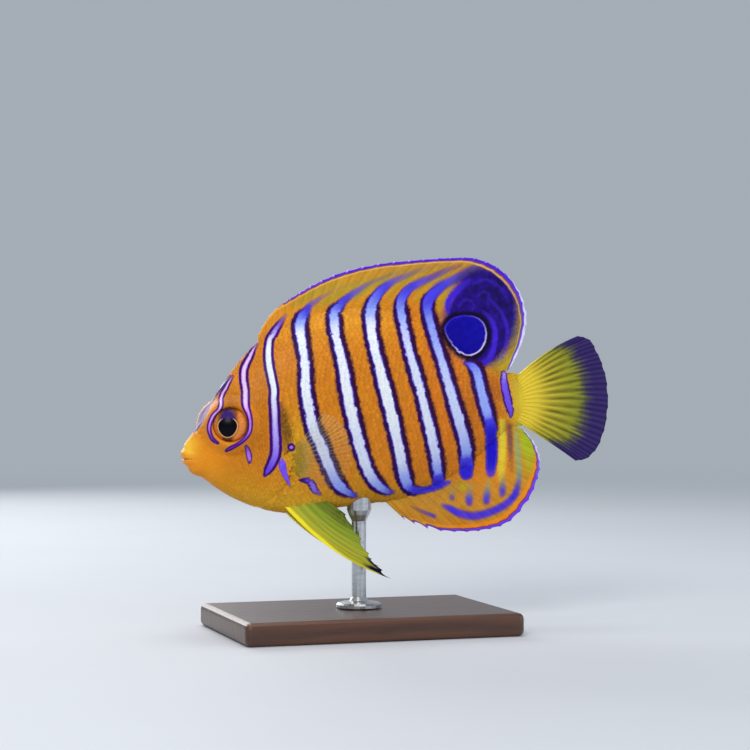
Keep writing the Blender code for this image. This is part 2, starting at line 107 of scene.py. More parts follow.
def insideShape(spots, line, far=40.0):
    # signed depth inside a closed line, positive inside
    closed = np.vstack((line, line[:1]))
    near, gap, _, _ = nearLine(spots, closed, far)
    depth = np.full(len(spots), -far)
    u, v = spots[near].T
    inside = np.zeros(len(near), bool)
    for (u0, v0), (u1, v1) in zip(closed[:-1, :2], closed[1:, :2]):
        if v0 != v1:
            inside ^= ((v0 > v) != (v1 > v)) & (u < (u1 - u0) * (v - v0) / (v1 - v0) + u0)
    depth[near] = np.where(inside, gap, -gap)
    return depth


# Camera, set first because the markings are laid out in its frame
shot = {
    "azimuth": -18, "aim": (-6.27, 0.0, 56.32), "distance": 460.12, "lens": 100, "sensor": 36, "frame": 750,
}
shotTurn = math.radians(shot["azimuth"])
shotBack = np.array((math.sin(shotTurn), -math.cos(shotTurn), 0))
shotRight = np.array((math.cos(shotTurn), math.sin(shotTurn), 0))


def plate(points):
    # where a point falls in the frame, with the far flank laid on the near one so both carry the same marks
    near = points.copy()
    near[:, 1] = -np.abs(near[:, 1])
    rel = near - np.array(shot["aim"])
    scale = shot["frame"] * shot["lens"] / shot["sensor"] / (shot["distance"] - rel @ shotBack)
    half = shot["frame"] / 2
    return np.stack((half + scale * (rel @ shotRight), half - scale * rel[:, 2]), -1)


def makeCamera():
    data = bpy.data.cameras.new("camera")
    data.lens, data.sensor_width = shot["lens"], shot["sensor"]
    data.clip_start, data.clip_end = 0.01, 20
    camera = bpy.data.objects.new("camera", data)
    bpy.context.scene.collection.objects.link(camera)
    back = Vector(shotBack)
    camera.location = (Vector(shot["aim"]) + back * shot["distance"]) * mm
    camera.rotation_euler = (-back).to_track_quat("-Z", "Y").to_euler()
    bpy.context.scene.camera = camera


makeCamera()


# Body
body = {
    # snout to tail: back x and z, belly x and z, half width, how sharply it closes above and below
    "sections": (
        (-48.9, 39.0, -48.9, 38.2, 0.0, 1.0, 1.0),
        (-49.1, 41.1, -48.6, 37.0, 1.8, 1.0, 1.0),
        (-47.9, 43.0, -47.3, 35.3, 2.7, 0.95, 1.0),
        (-46.1, 45.7, -44.9, 33.9, 3.7, 1.0, 1.0),
        (-43.3, 50.5, -41.4, 31.5, 4.9, 1.1, 1.0),
        (-39.6, 56.0, -38.0, 29.6, 5.8, 1.2, 1.0),
        (-34.3, 62.2, -32.6, 27.5, 6.9, 1.35, 1.0),
        (-27.0, 67.1, -25.8, 26.4, 7.4, 1.4, 1.0),
        (-17.5, 70.6, -17.5, 27.1, 7.5, 1.5, 1.05),
        (-7.0, 71.4, -8.2, 28.1, 7.1, 1.5, 1.15),
        (3.5, 69.1, 1.2, 29.1, 6.0, 1.5, 1.35),
        (12.8, 63.6, 10.5, 32.8, 4.6, 1.4, 1.4),
        (19.6, 58.9, 18.2, 38.2, 3.3, 1.25, 1.3),
        (23.9, 56.9, 23.3, 42.9, 2.5, 1.0, 1.0),
        (26.6, 56.8, 26.4, 44.6, 2.1, 1.0, 1.0),
        (28.6, 56.4, 28.6, 44.9, 1.5, 1.0, 1.0),
    ),
    "belt": 0.52, "tailTip": 29.3, "snout": (-48.6, 38.4), "narrow": {"from": 24, "over": 5, "share": 0.42},
    # sections where the ring spacing changes, and the rings in each stretch
    "headEnd": 6.0, "shoulderEnd": 8.6, "headRings": 96, "shoulderRings": 52, "trunkRings": 92, "around": 256,
}
sections = np.array(body["sections"])
lastSection = len(sections) - 1
gill = {
    "line": (
        (-31.4, 68.0), (-31.4, 62.0), (-31.3, 56.5), (-30.7, 51.5), (-29.3, 46.9), (-27.9, 42.6),
        (-27.5, 38.2), (-28.4, 33.8), (-31.0, 30.0), (-34.4, 27.0), (-37.4, 23.0),
    ),
    "rise": 0.55, "width": 4.2, "middle": 41.0, "half": 12.0, "fold": 0.3,
    "groove": 0.25, "grooveAt": -0.5, "grooveHalf": 0.4, "squeeze": 0.3, "squeezeOver": 1.6,
}
eye = {
    "centre": (-40.7, 45.8), "radius": 3.75, "depth": 2.3, "sunk": 1.35, "faces": (-0.24, -0.96, 0.14),
    "rise": 1.3, "reach": 8.0,
    # the lid is part of a ring, from lidFrom to lidTo degrees round its tube, with a cup inside it
    "lidRing": 4.3, "lidTube": 0.55, "lidHeight": -0.3, "lidFrom": 60, "lidTo": 200, "lidRun": 1.6,
    "cupFloor": -2.6, "slope": 0.577, "blend": 2.2, "around": 7.0, "behind": 5,
}
mouth = {
    "z": 38.4, "front": -49.0, "reach": 2.6, "fall": 0.35, "blend": 5.5, "middle": -46.0,
    "muzzleEnd": (1.5, 3.5), "slit": (0.15, 0.75),
    # the lips and the muzzle over them: height from the mouth line, swelling, half height
    "lips": ((0.95, 0.85, 1.05), (-0.75, 0.75, 0.85)), "muzzle": ((3.4, 0.2, 1.8), (-3.0, 0.45, 1.5)),
}
nostrils = ((-46.4, 43.7, 0.42), (-45.6, 44.9, 0.34))  # x, z, radius
pectoralBase = {"x": -26.8, "z": 38.2, "rise": 0.55, "wide": 2.6, "tall": 4.2, "front": -27.5}
gillPath = smoothLine(gill["line"], 8)


def sectionPoint(at, turn):
    backX, backZ, lowX, lowZ, half, sharpBack, sharpLow = through(sections, at).T
    rise, over, belt = np.sin(turn), np.cos(turn), body["belt"]
    level = belt + np.where(rise > 0, 1 - belt, belt) * rise
    out = np.maximum(half, 0) * np.abs(over) ** np.where(rise > 0, sharpBack, sharpLow)
    return np.stack((between(lowX, backX, level), -np.sign(over) * out, between(lowZ, backZ, level)), -1)


def flank(x, z):
    # half width of the body at places seen from the side
    x, z = np.atleast_1d(np.asarray(x, float)), np.atleast_1d(np.asarray(z, float))
    low, high = np.zeros_like(x), np.full_like(x, lastSection)
    for _ in range(34):
        at = (low + high) / 2
        backX, backZ, lowX, lowZ, half, sharpBack, sharpLow = through(sections, at).T
        share = (z - lowZ) / np.maximum(backZ - lowZ, 1e-6)
        ahead = between(lowX, backX, share) < x
        low, high = np.where(ahead, at, low), np.where(ahead, high, at)
    belt = body["belt"]
    rise = (share - belt) / np.where(share > belt, 1 - belt, belt)
    return half * np.sqrt(np.clip(1 - rise * rise, 0, 1)) ** np.where(rise > 0, sharpBack, sharpLow)


def fromEye(x, z):
    return np.hypot(x - eye["centre"][0], z - eye["centre"][1])


def eyeFrame(side):
    # centre of the eye on the skin, the way it looks, and the ways to the tail and up across it
    x, z = eye["centre"]
    look = unit(np.array((eye["faces"][0], eye["faces"][1] * side, eye["faces"][2])))
    up = unit(np.array((0, 0, 1.0)) - look * look[2])
    return np.array((x, -side * (flank(x, z)[0] + eye["rise"]), z)), look, np.cross(up, look) * side, up


def foldGill(place, side):
    near, gap, way, at = nearLine(place[:, [0, 2]], gillPath, 6)
    ahead = -way * gap
    spot = place[near]
    reach = np.clip((1 - np.abs(spot[:, 2] - gill["middle"]) / gill["half"]) * 2.0, 0, 1)
    reach *= ease(np.abs(spot[:, 1]) - 0.5)
    lift = gill["rise"] * np.where(ahead > 0, ease(1 - ahead / gill["width"]), ease(1 + ahead / gill["fold"]))
    lift -= gill["groove"] * np.exp(-(((ahead - gill["grooveAt"]) / gill["grooveHalf"]) ** 2))
    foot = pathAt(gillPath, at)
    squeeze = between(1, between(gill["squeeze"], 1, ease(gap / gill["squeezeOver"])), reach)
    place[near[:, None], (0, 2)] = foot + (spot[:, [0, 2]] - foot) * squeeze[:, None]
    place[near, 1] += side[near] * lift * reach


def lidPoint(degrees):
    turn = np.radians(degrees)
    return eye["lidRing"] + eye["lidTube"] * np.cos(turn), eye["lidHeight"] + eye["lidTube"] * np.sin(turn)


def sinkEye(place, which):
    # the skin slopes up to the lid, turns in round it and lies in a cup behind the eye
    centre, look, _, _ = eyeFrame(which)
    rel = place - centre
    height = rel @ look
    radial = rel - height[:, None] * look
    r = np.linalg.norm(radial, axis=1)
    near = np.flatnonzero((r < eye["around"]) & (height > -eye["behind"]) & (place[:, 1] * -which > 0))
    r0, h0 = r[near], height[near]
    (rim, rimHeight), (cup, cupHeight) = lidPoint(eye["lidFrom"]), lidPoint(eye["lidTo"])
    run, floor = eye["lidRun"], eye["cupFloor"]
    newR, newH = lidPoint(between(eye["lidFrom"], eye["lidTo"], np.clip((rim - r0) / run, 0, 1)))
    share = np.clip(r0 / (rim - run), 0, 1)
    inner, outer = r0 < rim - run, r0 > rim
    newR = np.where(outer, r0, np.where(inner, share**0.8 * cup, newR))
    slope = between(rimHeight - eye["slope"] * (r0 - rim), h0, ease((r0 - rim) / eye["blend"]))
    newH = np.where(outer, slope, np.where(inner, between(floor, cupHeight, share**4), newH))
    way = radial[near] / np.maximum(r0, 1e-6)[:, None]
    place[near] = centre + way * newR[:, None] + look * newH[:, None]


def shapeMouth(place):
    near = np.flatnonzero(place[:, 0] < mouth["front"] + mouth["blend"])
    spot = place[near]
    behind = spot[:, 0] - mouth["front"]
    back = np.clip((behind + 0.3) / mouth["reach"], 0, 1)
    drop = spot[:, 2] - (mouth["z"] - mouth["fall"] * back)
    push = -mouth["slit"][1] * np.exp(-((drop / mouth["slit"][0]) ** 2)) * (1 - back)
    shrink = 1 - 0.5 * back
    for offset, amount, width in mouth["lips"]:
        push += amount * np.exp(-np.abs((drop - offset * shrink) / (width * shrink)) ** 2.6)
    push *= (1 - back**2) * (1 - back) ** 0.35
    start, over = mouth["muzzleEnd"]
    for offset, amount, width in mouth["muzzle"]:
        push += amount * np.exp(-(((drop - offset) / width) ** 2)) * (1 - ease((behind - start) / over))
    way = unit(np.stack((spot[:, 0] - mouth["middle"], spot[:, 1] * 0.8), -1))
    place[near, 0] += way[:, 0] * push
    place[near, 1] += way[:, 1] * push * 0.6


def skinPoints(at, turn):
    place = sectionPoint(at, turn)
    side = np.where(place[:, 1] < 0, -1.0, 1.0)
    narrow, base = body["narrow"], pectoralBase
    place[:, 1] *= 1 - narrow["share"] * ease((place[:, 0] - narrow["from"]) / narrow["over"])
    foldGill(place, side)
    orbit = eye["rise"] * ease(1 - fromEye(place[:, 0], place[:, 2]) / eye["reach"])
    place[:, 1] += side * orbit * ease(np.abs(place[:, 1]) / 0.6)
    x, z = place[:, 0], place[:, 2]
    swell = ((x - base["x"]) / base["wide"]) ** 2 + ((z - base["z"]) / base["tall"]) ** 2
    place[:, 1] += side * base["rise"] * np.exp(-swell * 1.6) * (x > base["front"])
    shapeMouth(place)
    for noseX, noseZ, radius in nostrils:
        gap = np.hypot(place[:, 0] - noseX, place[:, 2] - noseZ) / radius
        rim = np.where(place[:, 0] > noseX, 0.45, 0.2) * np.exp(-(((gap - 1.35) / 0.4) ** 2))
        place[:, 1] += side * (rim - 0.5 * np.exp(-(gap**2) * 1.2)) * (np.abs(place[:, 1]) > 0.8)
    for _, which in sides:
        sinkEye(place, which)
    return place


# Markings, as they lie in the 750 px frame: u, v, half width, dark edge, coolness, strength
bars = (
    ((312, 303.5, 2.4, 0.08, 1.9, 0), (308.2, 309, 3.6, 0.22, 1.9, 0.5), (304.2, 314.2, 5.1, 0.6, 1.7, 0.9),
     (300.9, 320, 5.6, 0.85, 1.3, 1), (299.9, 327, 5.6, 1, 0.6, 1), (300.6, 334, 5.4, 1, 0.1, 1),
     (303, 350, 4.7, 1, 0, 1), (305.3, 364.8, 4.9, 1, 0, 1), (305.9, 390, 5.4, 1, 0, 1),
     (309.5, 412, 5.5, 1, 0.2, 1), (313.5, 430, 5.7, 1, 0.3, 1), (320.5, 444, 5.9, 1, 0.35, 1),
     (326.5, 460.5, 5.8, 1, 0.4, 1), (333, 475, 5.5, 1, 0.7, 1), (340.5, 487, 5.1, 0.9, 1.1, 1),
     (350, 493.5, 3.9, 0.5, 1.5, 0.9), (358, 495.8, 1.5, 0.1, 2, 0.4)),
    ((352, 295, 2.6, 0.03, 1.9, 0), (345, 299.5, 3.6, 0.1, 1.9, 0.5), (339.6, 305.8, 4.6, 0.45, 1.7, 0.9),
     (334.3, 312, 5.2, 0.85, 1.3, 1), (334.4, 322, 5.3, 1, 0.6, 1), (336.5, 339.3, 4.7, 1, 0.1, 1),
     (342.9, 364.8, 5.4, 1, 0, 1), (346.8, 390.3, 5.9, 1, 0, 1), (351.4, 412, 5.9, 1, 0.1, 1),
     (357, 435, 6, 1, 0.3, 1), (364.3, 461, 5.9, 0.85, 0.35, 1), (369.9, 474, 5.6, 0.8, 0.5, 1),
     (377.5, 484.5, 5.2, 0.9, 0.9, 1), (386, 490.5, 3.9, 0.6, 1.5, 0.9), (395, 492.5, 1.5, 0.2, 2, 0.4)),
    ((391.6, 282.3, 3, 0.03, 1.9, 0), (385.2, 287.3, 4, 0.1, 1.9, 0.5), (378.1, 294.1, 5, 0.21, 1.7, 0.9),
     (372.6, 303, 5.5, 0.64, 1.4, 1), (370.6, 313.8, 5.9, 1, 0.8, 1), (371, 325, 5.5, 1, 0.2, 1),
     (372.6, 339.3, 5.3, 1, 0, 1), (378.9, 364.8, 5.4, 1, 0, 1), (385.2, 390.3, 6.3, 1, 0, 1),
     (388.8, 404.2, 6.3, 1, 0, 1), (394.8, 428.5, 6.1, 1, 0.2, 1), (400, 452.7, 5.8, 1, 0.3, 1),
     (402.6, 468, 5.8, 1, 0.5, 1), (406, 481, 5.8, 0.9, 1.1, 1), (411, 489, 4.6, 0.7, 1.8, 1),
     (420, 490.3, 3.6, 0.4, 2.3, 0.9), (430, 489, 3.2, 0.2, 2.6, 0.8), (441, 485.5, 3.2, 0.1, 2.8, 0.7),
     (450, 481.5, 2.4, 0, 2.9, 0.4)),
    ((418, 282.5, 3, 0.03, 1.9, 0), (410.5, 287.5, 4, 0.1, 1.9, 0.5), (404, 294.5, 5, 0.21, 1.8, 0.9),
     (400.6, 304, 5.1, 0.64, 1.5, 1), (401.6, 315, 4.7, 1, 1, 1), (403.8, 326.5, 4.3, 1, 0.6, 1),
     (409.5, 352, 4.6, 1, 0.4, 1), (416.8, 377.6, 5.1, 1, 0.35, 1), (420.9, 392.1, 4.6, 1, 0.3, 1),
     (427, 416.3, 5, 1, 0.3, 1), (432.5, 440.6, 5.3, 1, 0.4, 1), (436.2, 458.8, 5.2, 1, 0.6, 1),
     (437.7, 470.9, 5.3, 0.9, 1.2, 1), (438.6, 478, 5.8, 0.6, 2.2, 1), (438.6, 483, 6.8, 0.2, 2.8, 0.8)),
    ((449, 281.5, 3.6, 0.03, 2.1, 0), (441, 288, 4.4, 0.1, 2.1, 0.5), (433, 294, 5.4, 0.21, 2, 0.9),
     (428.5, 300.5, 5.6, 0.64, 1.9, 1), (427.2, 309, 5, 0.75, 1.7, 1), (429.6, 320.2, 4.7, 1, 1.3, 1),
     (434.7, 339.3, 4.4, 1, 0.9, 1), (443, 364.8, 4.8, 1, 0.6, 1), (450.8, 392.1, 5.1, 1, 0.5, 1),
     (457.8, 416.3, 5.7, 1, 0.5, 1), (464.7, 440.6, 5.5, 1, 0.7, 1), (466.3, 452.7, 5.8, 0.9, 1.1, 1),
     (466.7, 460, 6.2, 0.6, 2, 1), (466.5, 467, 6.9, 0.3, 2.7, 1), (466, 474, 7.0, 0.05, 2.8, 0.8)),
    ((466, 362.5, 2.4, 0.3, 1.8, 0.7), (472.5, 366, 4.3, 0.8, 1.5, 1), (476.8, 372, 4.9, 1, 1.3, 1),
     (479.5, 383, 4.8, 1, 1, 1), (482.5, 395, 5, 1, 0.9, 1), (485.5, 407, 5.1, 1, 1, 1),
     (488.1, 416.3, 5.3, 0.9, 1.4, 1), (490.3, 424, 5.6, 0.6, 2.4, 1), (491.2, 435, 5.9, 0.3, 2.9, 1),
     (491.6, 452.7, 5.8, 0.2, 3, 1), (491.2, 464, 5.4, 0.15, 3, 0.9), (490.6, 474, 4.6, 0.1, 2.8, 0.5)),
)
barEdges = {"left": 4.6, "right": 5.6}  # px, where the dark edge is 1
stripes = (
    # gill cover
    ((286, 315, 1.2, 0.4, 2, 0.3), (279.5, 324, 2.3, 0.7, 1.6, 0.9), (274, 332.4, 3, 0.9, 1.0, 1),
     (269.8, 340, 3.2, 0.9, 0, 1), (268.3, 352, 3.4, 0.95, -0.8, 1), (269.1, 364.8, 3.6, 0.95, -1, 1),
     (271.7, 378, 3.6, 0.95, -1, 1), (274, 390.3, 3.5, 0.95, -0.9, 1), (273.6, 400, 3.5, 1, -0.3, 1),
     (274.5, 410, 3.6, 1.05, 0.3, 1), (275, 426, 3.6, 1.05, 0.9, 1), (275.8, 440, 3.8, 1.1, 1.2, 1),
     (275.6, 453, 3.8, 1.1, 1.45, 1), (272.1, 463, 3.6, 0.95, 1.7, 1), (267.8, 470.5, 3, 0.7, 1.9, 1),
     (264.8, 475.4, 1.2, 0.4, 2, 1)),
    # behind the eye
    ((257, 344, 1, 0.3, 4.6, 0.6), (253.2, 350, 1.8, 0.5, 4.4, 1), (250, 356.6, 2.4, 0.8, 4.2, 1),
     (246, 364, 2.7, 0.9, 4.1, 1), (243.8, 371, 2.9, 0.95, 4, 1), (243.8, 380, 2.9, 0.95, 4, 1),
     (245.3, 391, 3, 0.8, 4.1, 1), (245.4, 401, 3, 0.8, 4.3, 1), (246.2, 407.5, 2.7, 0.7, 4.5, 1),
     (248.6, 413.5, 2.2, 0.5, 4.8, 1), (250.2, 421, 1.9, 0.45, 5, 1), (249.9, 430, 1.8, 0.4, 5.3, 1),
     (246.2, 437.2, 1.6, 0.4, 5.7, 1), (241.2, 442, 1.4, 0.4, 6, 1), (235.5, 445.6, 1.3, 0.4, 6, 1),
     (230.5, 448.3, 1.5, 0.4, 5.8, 1), (226.3, 450.6, 1.1, 0.3, 5.6, 1)),
    # before the eye
    ((232.6, 376.4, 1, 0.3, 4.5, 0.7), (229.4, 381.3, 1.5, 0.4, 4.2, 1), (226.4, 387, 1.7, 0.45, 4, 1),
     (223, 392.8, 1.8, 0.5, 4, 1), (220.9, 399, 1.9, 0.45, 4, 1), (220.9, 404.5, 2, 0.45, 4.1, 1),
     (219, 409.9, 1.8, 0.45, 4.3, 1), (213.9, 415, 1.9, 0.4, 4.6, 1), (210.5, 421.6, 1.8, 0.4, 4.8, 1),
     (209.1, 428.2, 1.7, 0.4, 5.2, 1), (210.4, 434.7, 1.5, 0.4, 5.6, 1), (213, 439.6, 1.5, 0.4, 5.8, 1),
     (217.8, 443, 1.1, 0.3, 5.8, 1)),
    # forehead ridge
    ((230, 376, 0.7, 0.3, -1, 0.6), (225.5, 381, 1.2, 0.4, -1, 1), (219.5, 388.5, 1.3, 0.5, -1, 1),
     (213.5, 396, 1.3, 0.6, 0, 1), (208.4, 403.5, 1.4, 0.75, 4, 1), (204.8, 410, 1.5, 0.8, 4, 1),
     (201.4, 417.5, 1.4, 0.8, 4.2, 1), (197.8, 425, 1.2, 0.7, 4.4, 1), (193.8, 431, 0.8, 0.5, 4.6, 1)),
    # cheek
    ((246, 446.4, 1.6, 0.1, 5.6, 1), (248.1, 451.1, 2.6, 0.12, 5.5, 1), (249.4, 457.7, 2.6, 0.12, 5.3, 1),
     (249.4, 462.6, 1.6, 0.1, 5.5, 1)),
    # shoulder dot
    ((291.2, 447, 2.7, 0.6, 5.2, 1), (291.6, 447.6, 2.7, 0.6, 5.2, 1)),
    # shoulder mark
    ((299.8, 480, 0.8, 0.4, 2.6, 1), (304.5, 480.3, 1.7, 0.4, 2.2, 1), (308.6, 481.8, 2.7, 0.35, 1.7, 1),
     (312.3, 486, 3.5, 0.3, 1.5, 1), (316.2, 491, 3.2, 0.25, 1.6, 0.9), (320.5, 495, 1.5, 0.2, 1.9, 0.5)),
    # tail stalk
    ((503.4, 373.5, 2.6, 0.15, 1.2, 1), (504.1, 383, 3.4, 0.35, 1.7, 1), (506.1, 394, 3.7, 0.45, 1.8, 1),
     (508.5, 404, 3.5, 0.4, 1.8, 1), (510.4, 412, 2.8, 0.25, 1.8, 1), (511, 416.5, 1.6, 0.15, 1.9, 0.9)),
)
stripeEdge = 2.3
# violet lines in the dark of the soft dorsal: u, v, half width, strength
swirls = (
    ((468, 363.5, 2.6, 0.9), (478, 364.3, 3.4, 1), (487, 361.2, 3.6, 1), (492.4, 352, 3.5, 1),
     (495, 340, 3.4, 1), (494.4, 327, 3.1, 1), (489.4, 317.5, 2.5, 0.8), (483.5, 311.5, 1.8, 0.5)),
    ((502.5, 358, 1.5, 0.4), (506.4, 343, 2.3, 0.7), (507.2, 328, 2.5, 0.8), (502.6, 315, 2.4, 0.7),
     (496, 305.5, 2, 0.6), (488, 298, 1.8, 0.4)),
    ((470, 280, 2.8, 0.5), (458, 289.5, 4.0, 0.9), (450.2, 298.5, 4.0, 1), (447.6, 307.5, 3.3, 1),
     (448.6, 314, 2.2, 0.7)),
    ((459, 306.5, 1.6, 0.3), (463, 300.5, 1.8, 0.45), (469.5, 300, 1.9, 0.5), (473.5, 305, 1.8, 0.5),
     (472.5, 311, 1.5, 0.35)),
    ((477, 297, 1.8, 0.3), (483, 291.5, 1.9, 0.4), (488.5, 295, 1.9, 0.45), (487.5, 304, 1.7, 0.35)),
    ((474, 284, 2, 0.4), (484, 279.5, 2.2, 0.5), (494, 283, 2.2, 0.5), (503, 291, 2, 0.45),
     (508.5, 302, 1.7, 0.3)),
)
duskShape = (
    (441.5, 318), (443.5, 308), (447, 300), (450.5, 290.5), (455.5, 281.5), (462, 273.5), (472, 268),
    (483, 265), (494, 266.5), (504, 271.5), (512, 280.5), (517.5, 292), (520, 306), (519, 324), (514, 341),
    (505.5, 355), (496, 364.5), (484, 368), (470, 365), (457, 356), (446, 344), (440, 331),
)
ocellusShape = (
    (445.2, 327.8), (448.6, 322.6), (453.2, 319), (460.8, 316.8), (468.5, 316.4), (476, 318), (482.4, 323),
    (485.4, 330.6), (485, 339.6), (480.6, 348.8), (474, 353.7), (466, 354.4), (459.4, 351.2), (451.8, 342.8),
    (447.2, 335),
)
ocellusMiddle, ocellusBright = (466, 335), math.radians(62)  # its ring is palest low behind
# colours of the soft marks
mauve = (0.50, 0.30, 0.33)
greyGreen = (0.62, 0.70, 0.48)
violetBlue = (0.27, 0.21, 0.90)
lemon = (0.95, 0.87, 0.24)
leaf = (0.68, 0.82, 0.12)
sweepBlue = (0.34, 0.31, 0.94)
sweepMauve = (0.62, 0.50, 0.46)
mustard = (0.80, 0.60, 0.13)
olive = (0.70, 0.62, 0.18)
sweepSlate = (0.36, 0.30, 0.66)
# soft marks: colour at each end, then u, v, half width, strength
softMarks = (
    (olive, olive, ((293, 306, 3, 0.3), (300, 302, 4, 0.6), (318, 291, 3.5, 0.6), (340, 282.5, 3, 0.4))),
    (olive, olive, ((318, 306, 3, 0.4), (330, 298.5, 4, 0.7), (348, 288, 3.5, 0.7), (372, 277.5, 3, 0.4))),
    (olive, olive, ((356, 297, 3, 0.5), (364, 290, 4, 0.8), (380, 280.5, 3.5, 0.8), (402, 271.5, 3, 0.4))),
    (mustard, olive, ((391, 297, 3.5, 0.6), (396, 287, 4.5, 0.9), (408, 279, 4, 0.9), (424, 272.5, 3, 0.6),
     (440, 267.5, 2, 0.3))),
    (mustard, olive, ((416, 300, 4, 0.6), (421, 290, 4.5, 0.9), (431, 283, 3.5, 0.8), (446, 276, 2.5, 0.6),
     (456, 271, 2, 0.3))),
    (mustard, olive, ((440, 316, 4.5, 0.5), (440.5, 303, 4.5, 0.9), (446, 293, 4, 0.9), (452, 287, 2.6, 0.6),
     (457, 283, 1.8, 0.1))),
    (sweepBlue, sweepMauve, ((303, 314, 3.2, 0.2), (307.5, 307.5, 3.2, 0.8), (316, 301, 2.6, 0.75),
     (326, 294.6, 2.0, 0.5), (337, 288.5, 1.6, 0.3), (356, 281, 1.4, 0.15))),
    (sweepBlue, sweepMauve, ((337, 306, 3.8, 0.2), (345, 299.5, 3.8, 0.9), (358, 290.3, 2.9, 0.85),
     (370, 283, 2.2, 0.6), (388, 275.8, 1.8, 0.4), (402, 271.3, 1.6, 0.25), (416, 268.5, 1.4, 0.1))),
    (sweepBlue, sweepMauve, ((377, 294, 4.4, 0.2), (384.5, 287, 4.2, 0.9), (394, 281, 3.4, 0.9),
     (405, 276.2, 2.7, 0.75), (418, 271, 2.2, 0.5), (430, 267, 1.9, 0.3), (442, 264.5, 1.6, 0.15))),
    (sweepBlue, sweepSlate, ((404, 295, 4.4, 0.2), (410.5, 287.8, 4.4, 0.9), (421, 282, 3.8, 0.95),
     (432, 277.2, 3.2, 0.85), (442, 272.6, 2.8, 0.7), (452, 268, 2.4, 0.5), (461, 265.5, 2, 0.3))),
    (sweepBlue, sweepSlate, ((432, 293.5, 4.8, 0.2), (438.5, 287.2, 4.8, 0.95), (449, 282, 4.2, 1),
     (459, 277.2, 4.6, 0.95), (468, 273, 5.4, 0.9), (477, 270, 5.4, 0.8), (486, 269, 4, 0.5))),
    (leaf, leaf, ((523, 423, 5, 0.8), (528, 440, 7, 0.9), (530, 458, 5, 0.6), (530, 474, 3, 0.3))),
    (lemon, lemon, ((501.5, 421, 3, 0.9), (502.4, 440, 4.0, 0.95), (501.5, 470, 3.8, 0.8),
     (500.5, 480, 2.4, 0.3))),
    (mauve, mauve, ((508.0, 421, 1.6, 0.4), (509.6, 430, 2.8, 0.85), (510.4, 448, 2.6, 0.8),
     (511.0, 460, 2.2, 0.5), (511.2, 474, 1.8, 0.1))),
    (greyGreen, greyGreen, ((515.6, 428, 1.8, 0.5), (517.4, 445, 2.8, 0.8), (518.8, 470, 3, 0.85),
     (518.5, 480, 2.6, 0.4))),
    (greyGreen, violetBlue, ((519.6, 466, 2, 0.3), (519, 480, 2.6, 0.8), (515.4, 494, 3.2, 0.95))),
    (violetBlue, violetBlue, ((517, 490, 2.6, 0.6), (514, 496, 3.2, 1), (505.5, 504.5, 3.6, 1),
     (491.2, 511.7, 3.8, 1), (475, 515.9, 4, 1), (460.5, 513.7, 3.8, 1), (450.5, 508.8, 3.2, 1),
     (443, 505.5, 2, 0.6))),
    (greyGreen, violetBlue, ((503.2, 474, 1.8, 0.3), (502.9, 482, 2.4, 0.7), (502.6, 489, 3.2, 1),
     (502.2, 494.5, 2.6, 0.8))),
    (greyGreen, violetBlue, ((488.5, 480, 1.8, 0.4), (487.6, 488, 2.6, 0.7), (486.8, 496, 3.6, 1),
     (486.4, 501.5, 3, 0.9))),
    (greyGreen, violetBlue, ((470.5, 484, 1.8, 0.4), (469.8, 491, 2.4, 0.6), (469.2, 498, 3.8, 1),
     (469.2, 503, 3, 0.8))),
    (greyGreen, violetBlue, ((453, 489, 1.8, 0.3), (452.5, 494, 2.6, 0.5), (452, 498, 2.6, 0.6))),
    (mustard, leaf, ((461, 481, 3.5, 0.6), (463, 487, 3.5, 0.5))),
    (mauve, violetBlue, ((410, 506, 1.2, 0.3), (420, 510.5, 1.8, 0.6), (434, 516.2, 2, 0.8))),
    # painted shade: a dark olive smear in the crease behind the gill cover's edge
    ((0.20, 0.17, 0.05), (0.20, 0.17, 0.05), ((279.5, 404, 2.0, 0.3), (282.5, 416, 4.2, 0.5),
     (285.5, 429, 5.4, 0.6), (287, 440, 4.6, 0.5), (286, 450, 3.0, 0.25))),
    # painted shade: a short near-black line in the crease where the pectoral fin meets its base
    ((0.10, 0.07, 0.05), (0.10, 0.07, 0.05), ((285, 454, 0.7, 0.7), (289.5, 450.3, 0.9, 0.8))),
    ((0.66, 0.56, 0.15), (0.66, 0.58, 0.15), ((296, 446, 3, 0.4), (298, 458, 6, 0.7), (300, 468, 7, 0.7),
     (301, 474, 5, 0.4))),
    ((1.0, 0.95, 0.92), (1.0, 0.95, 0.92), ((193.8, 430.4, 0.9, 1), (196.2, 432.6, 0.8, 0.9))),
)
orangeBase = (0.90, 0.54, 0.12)
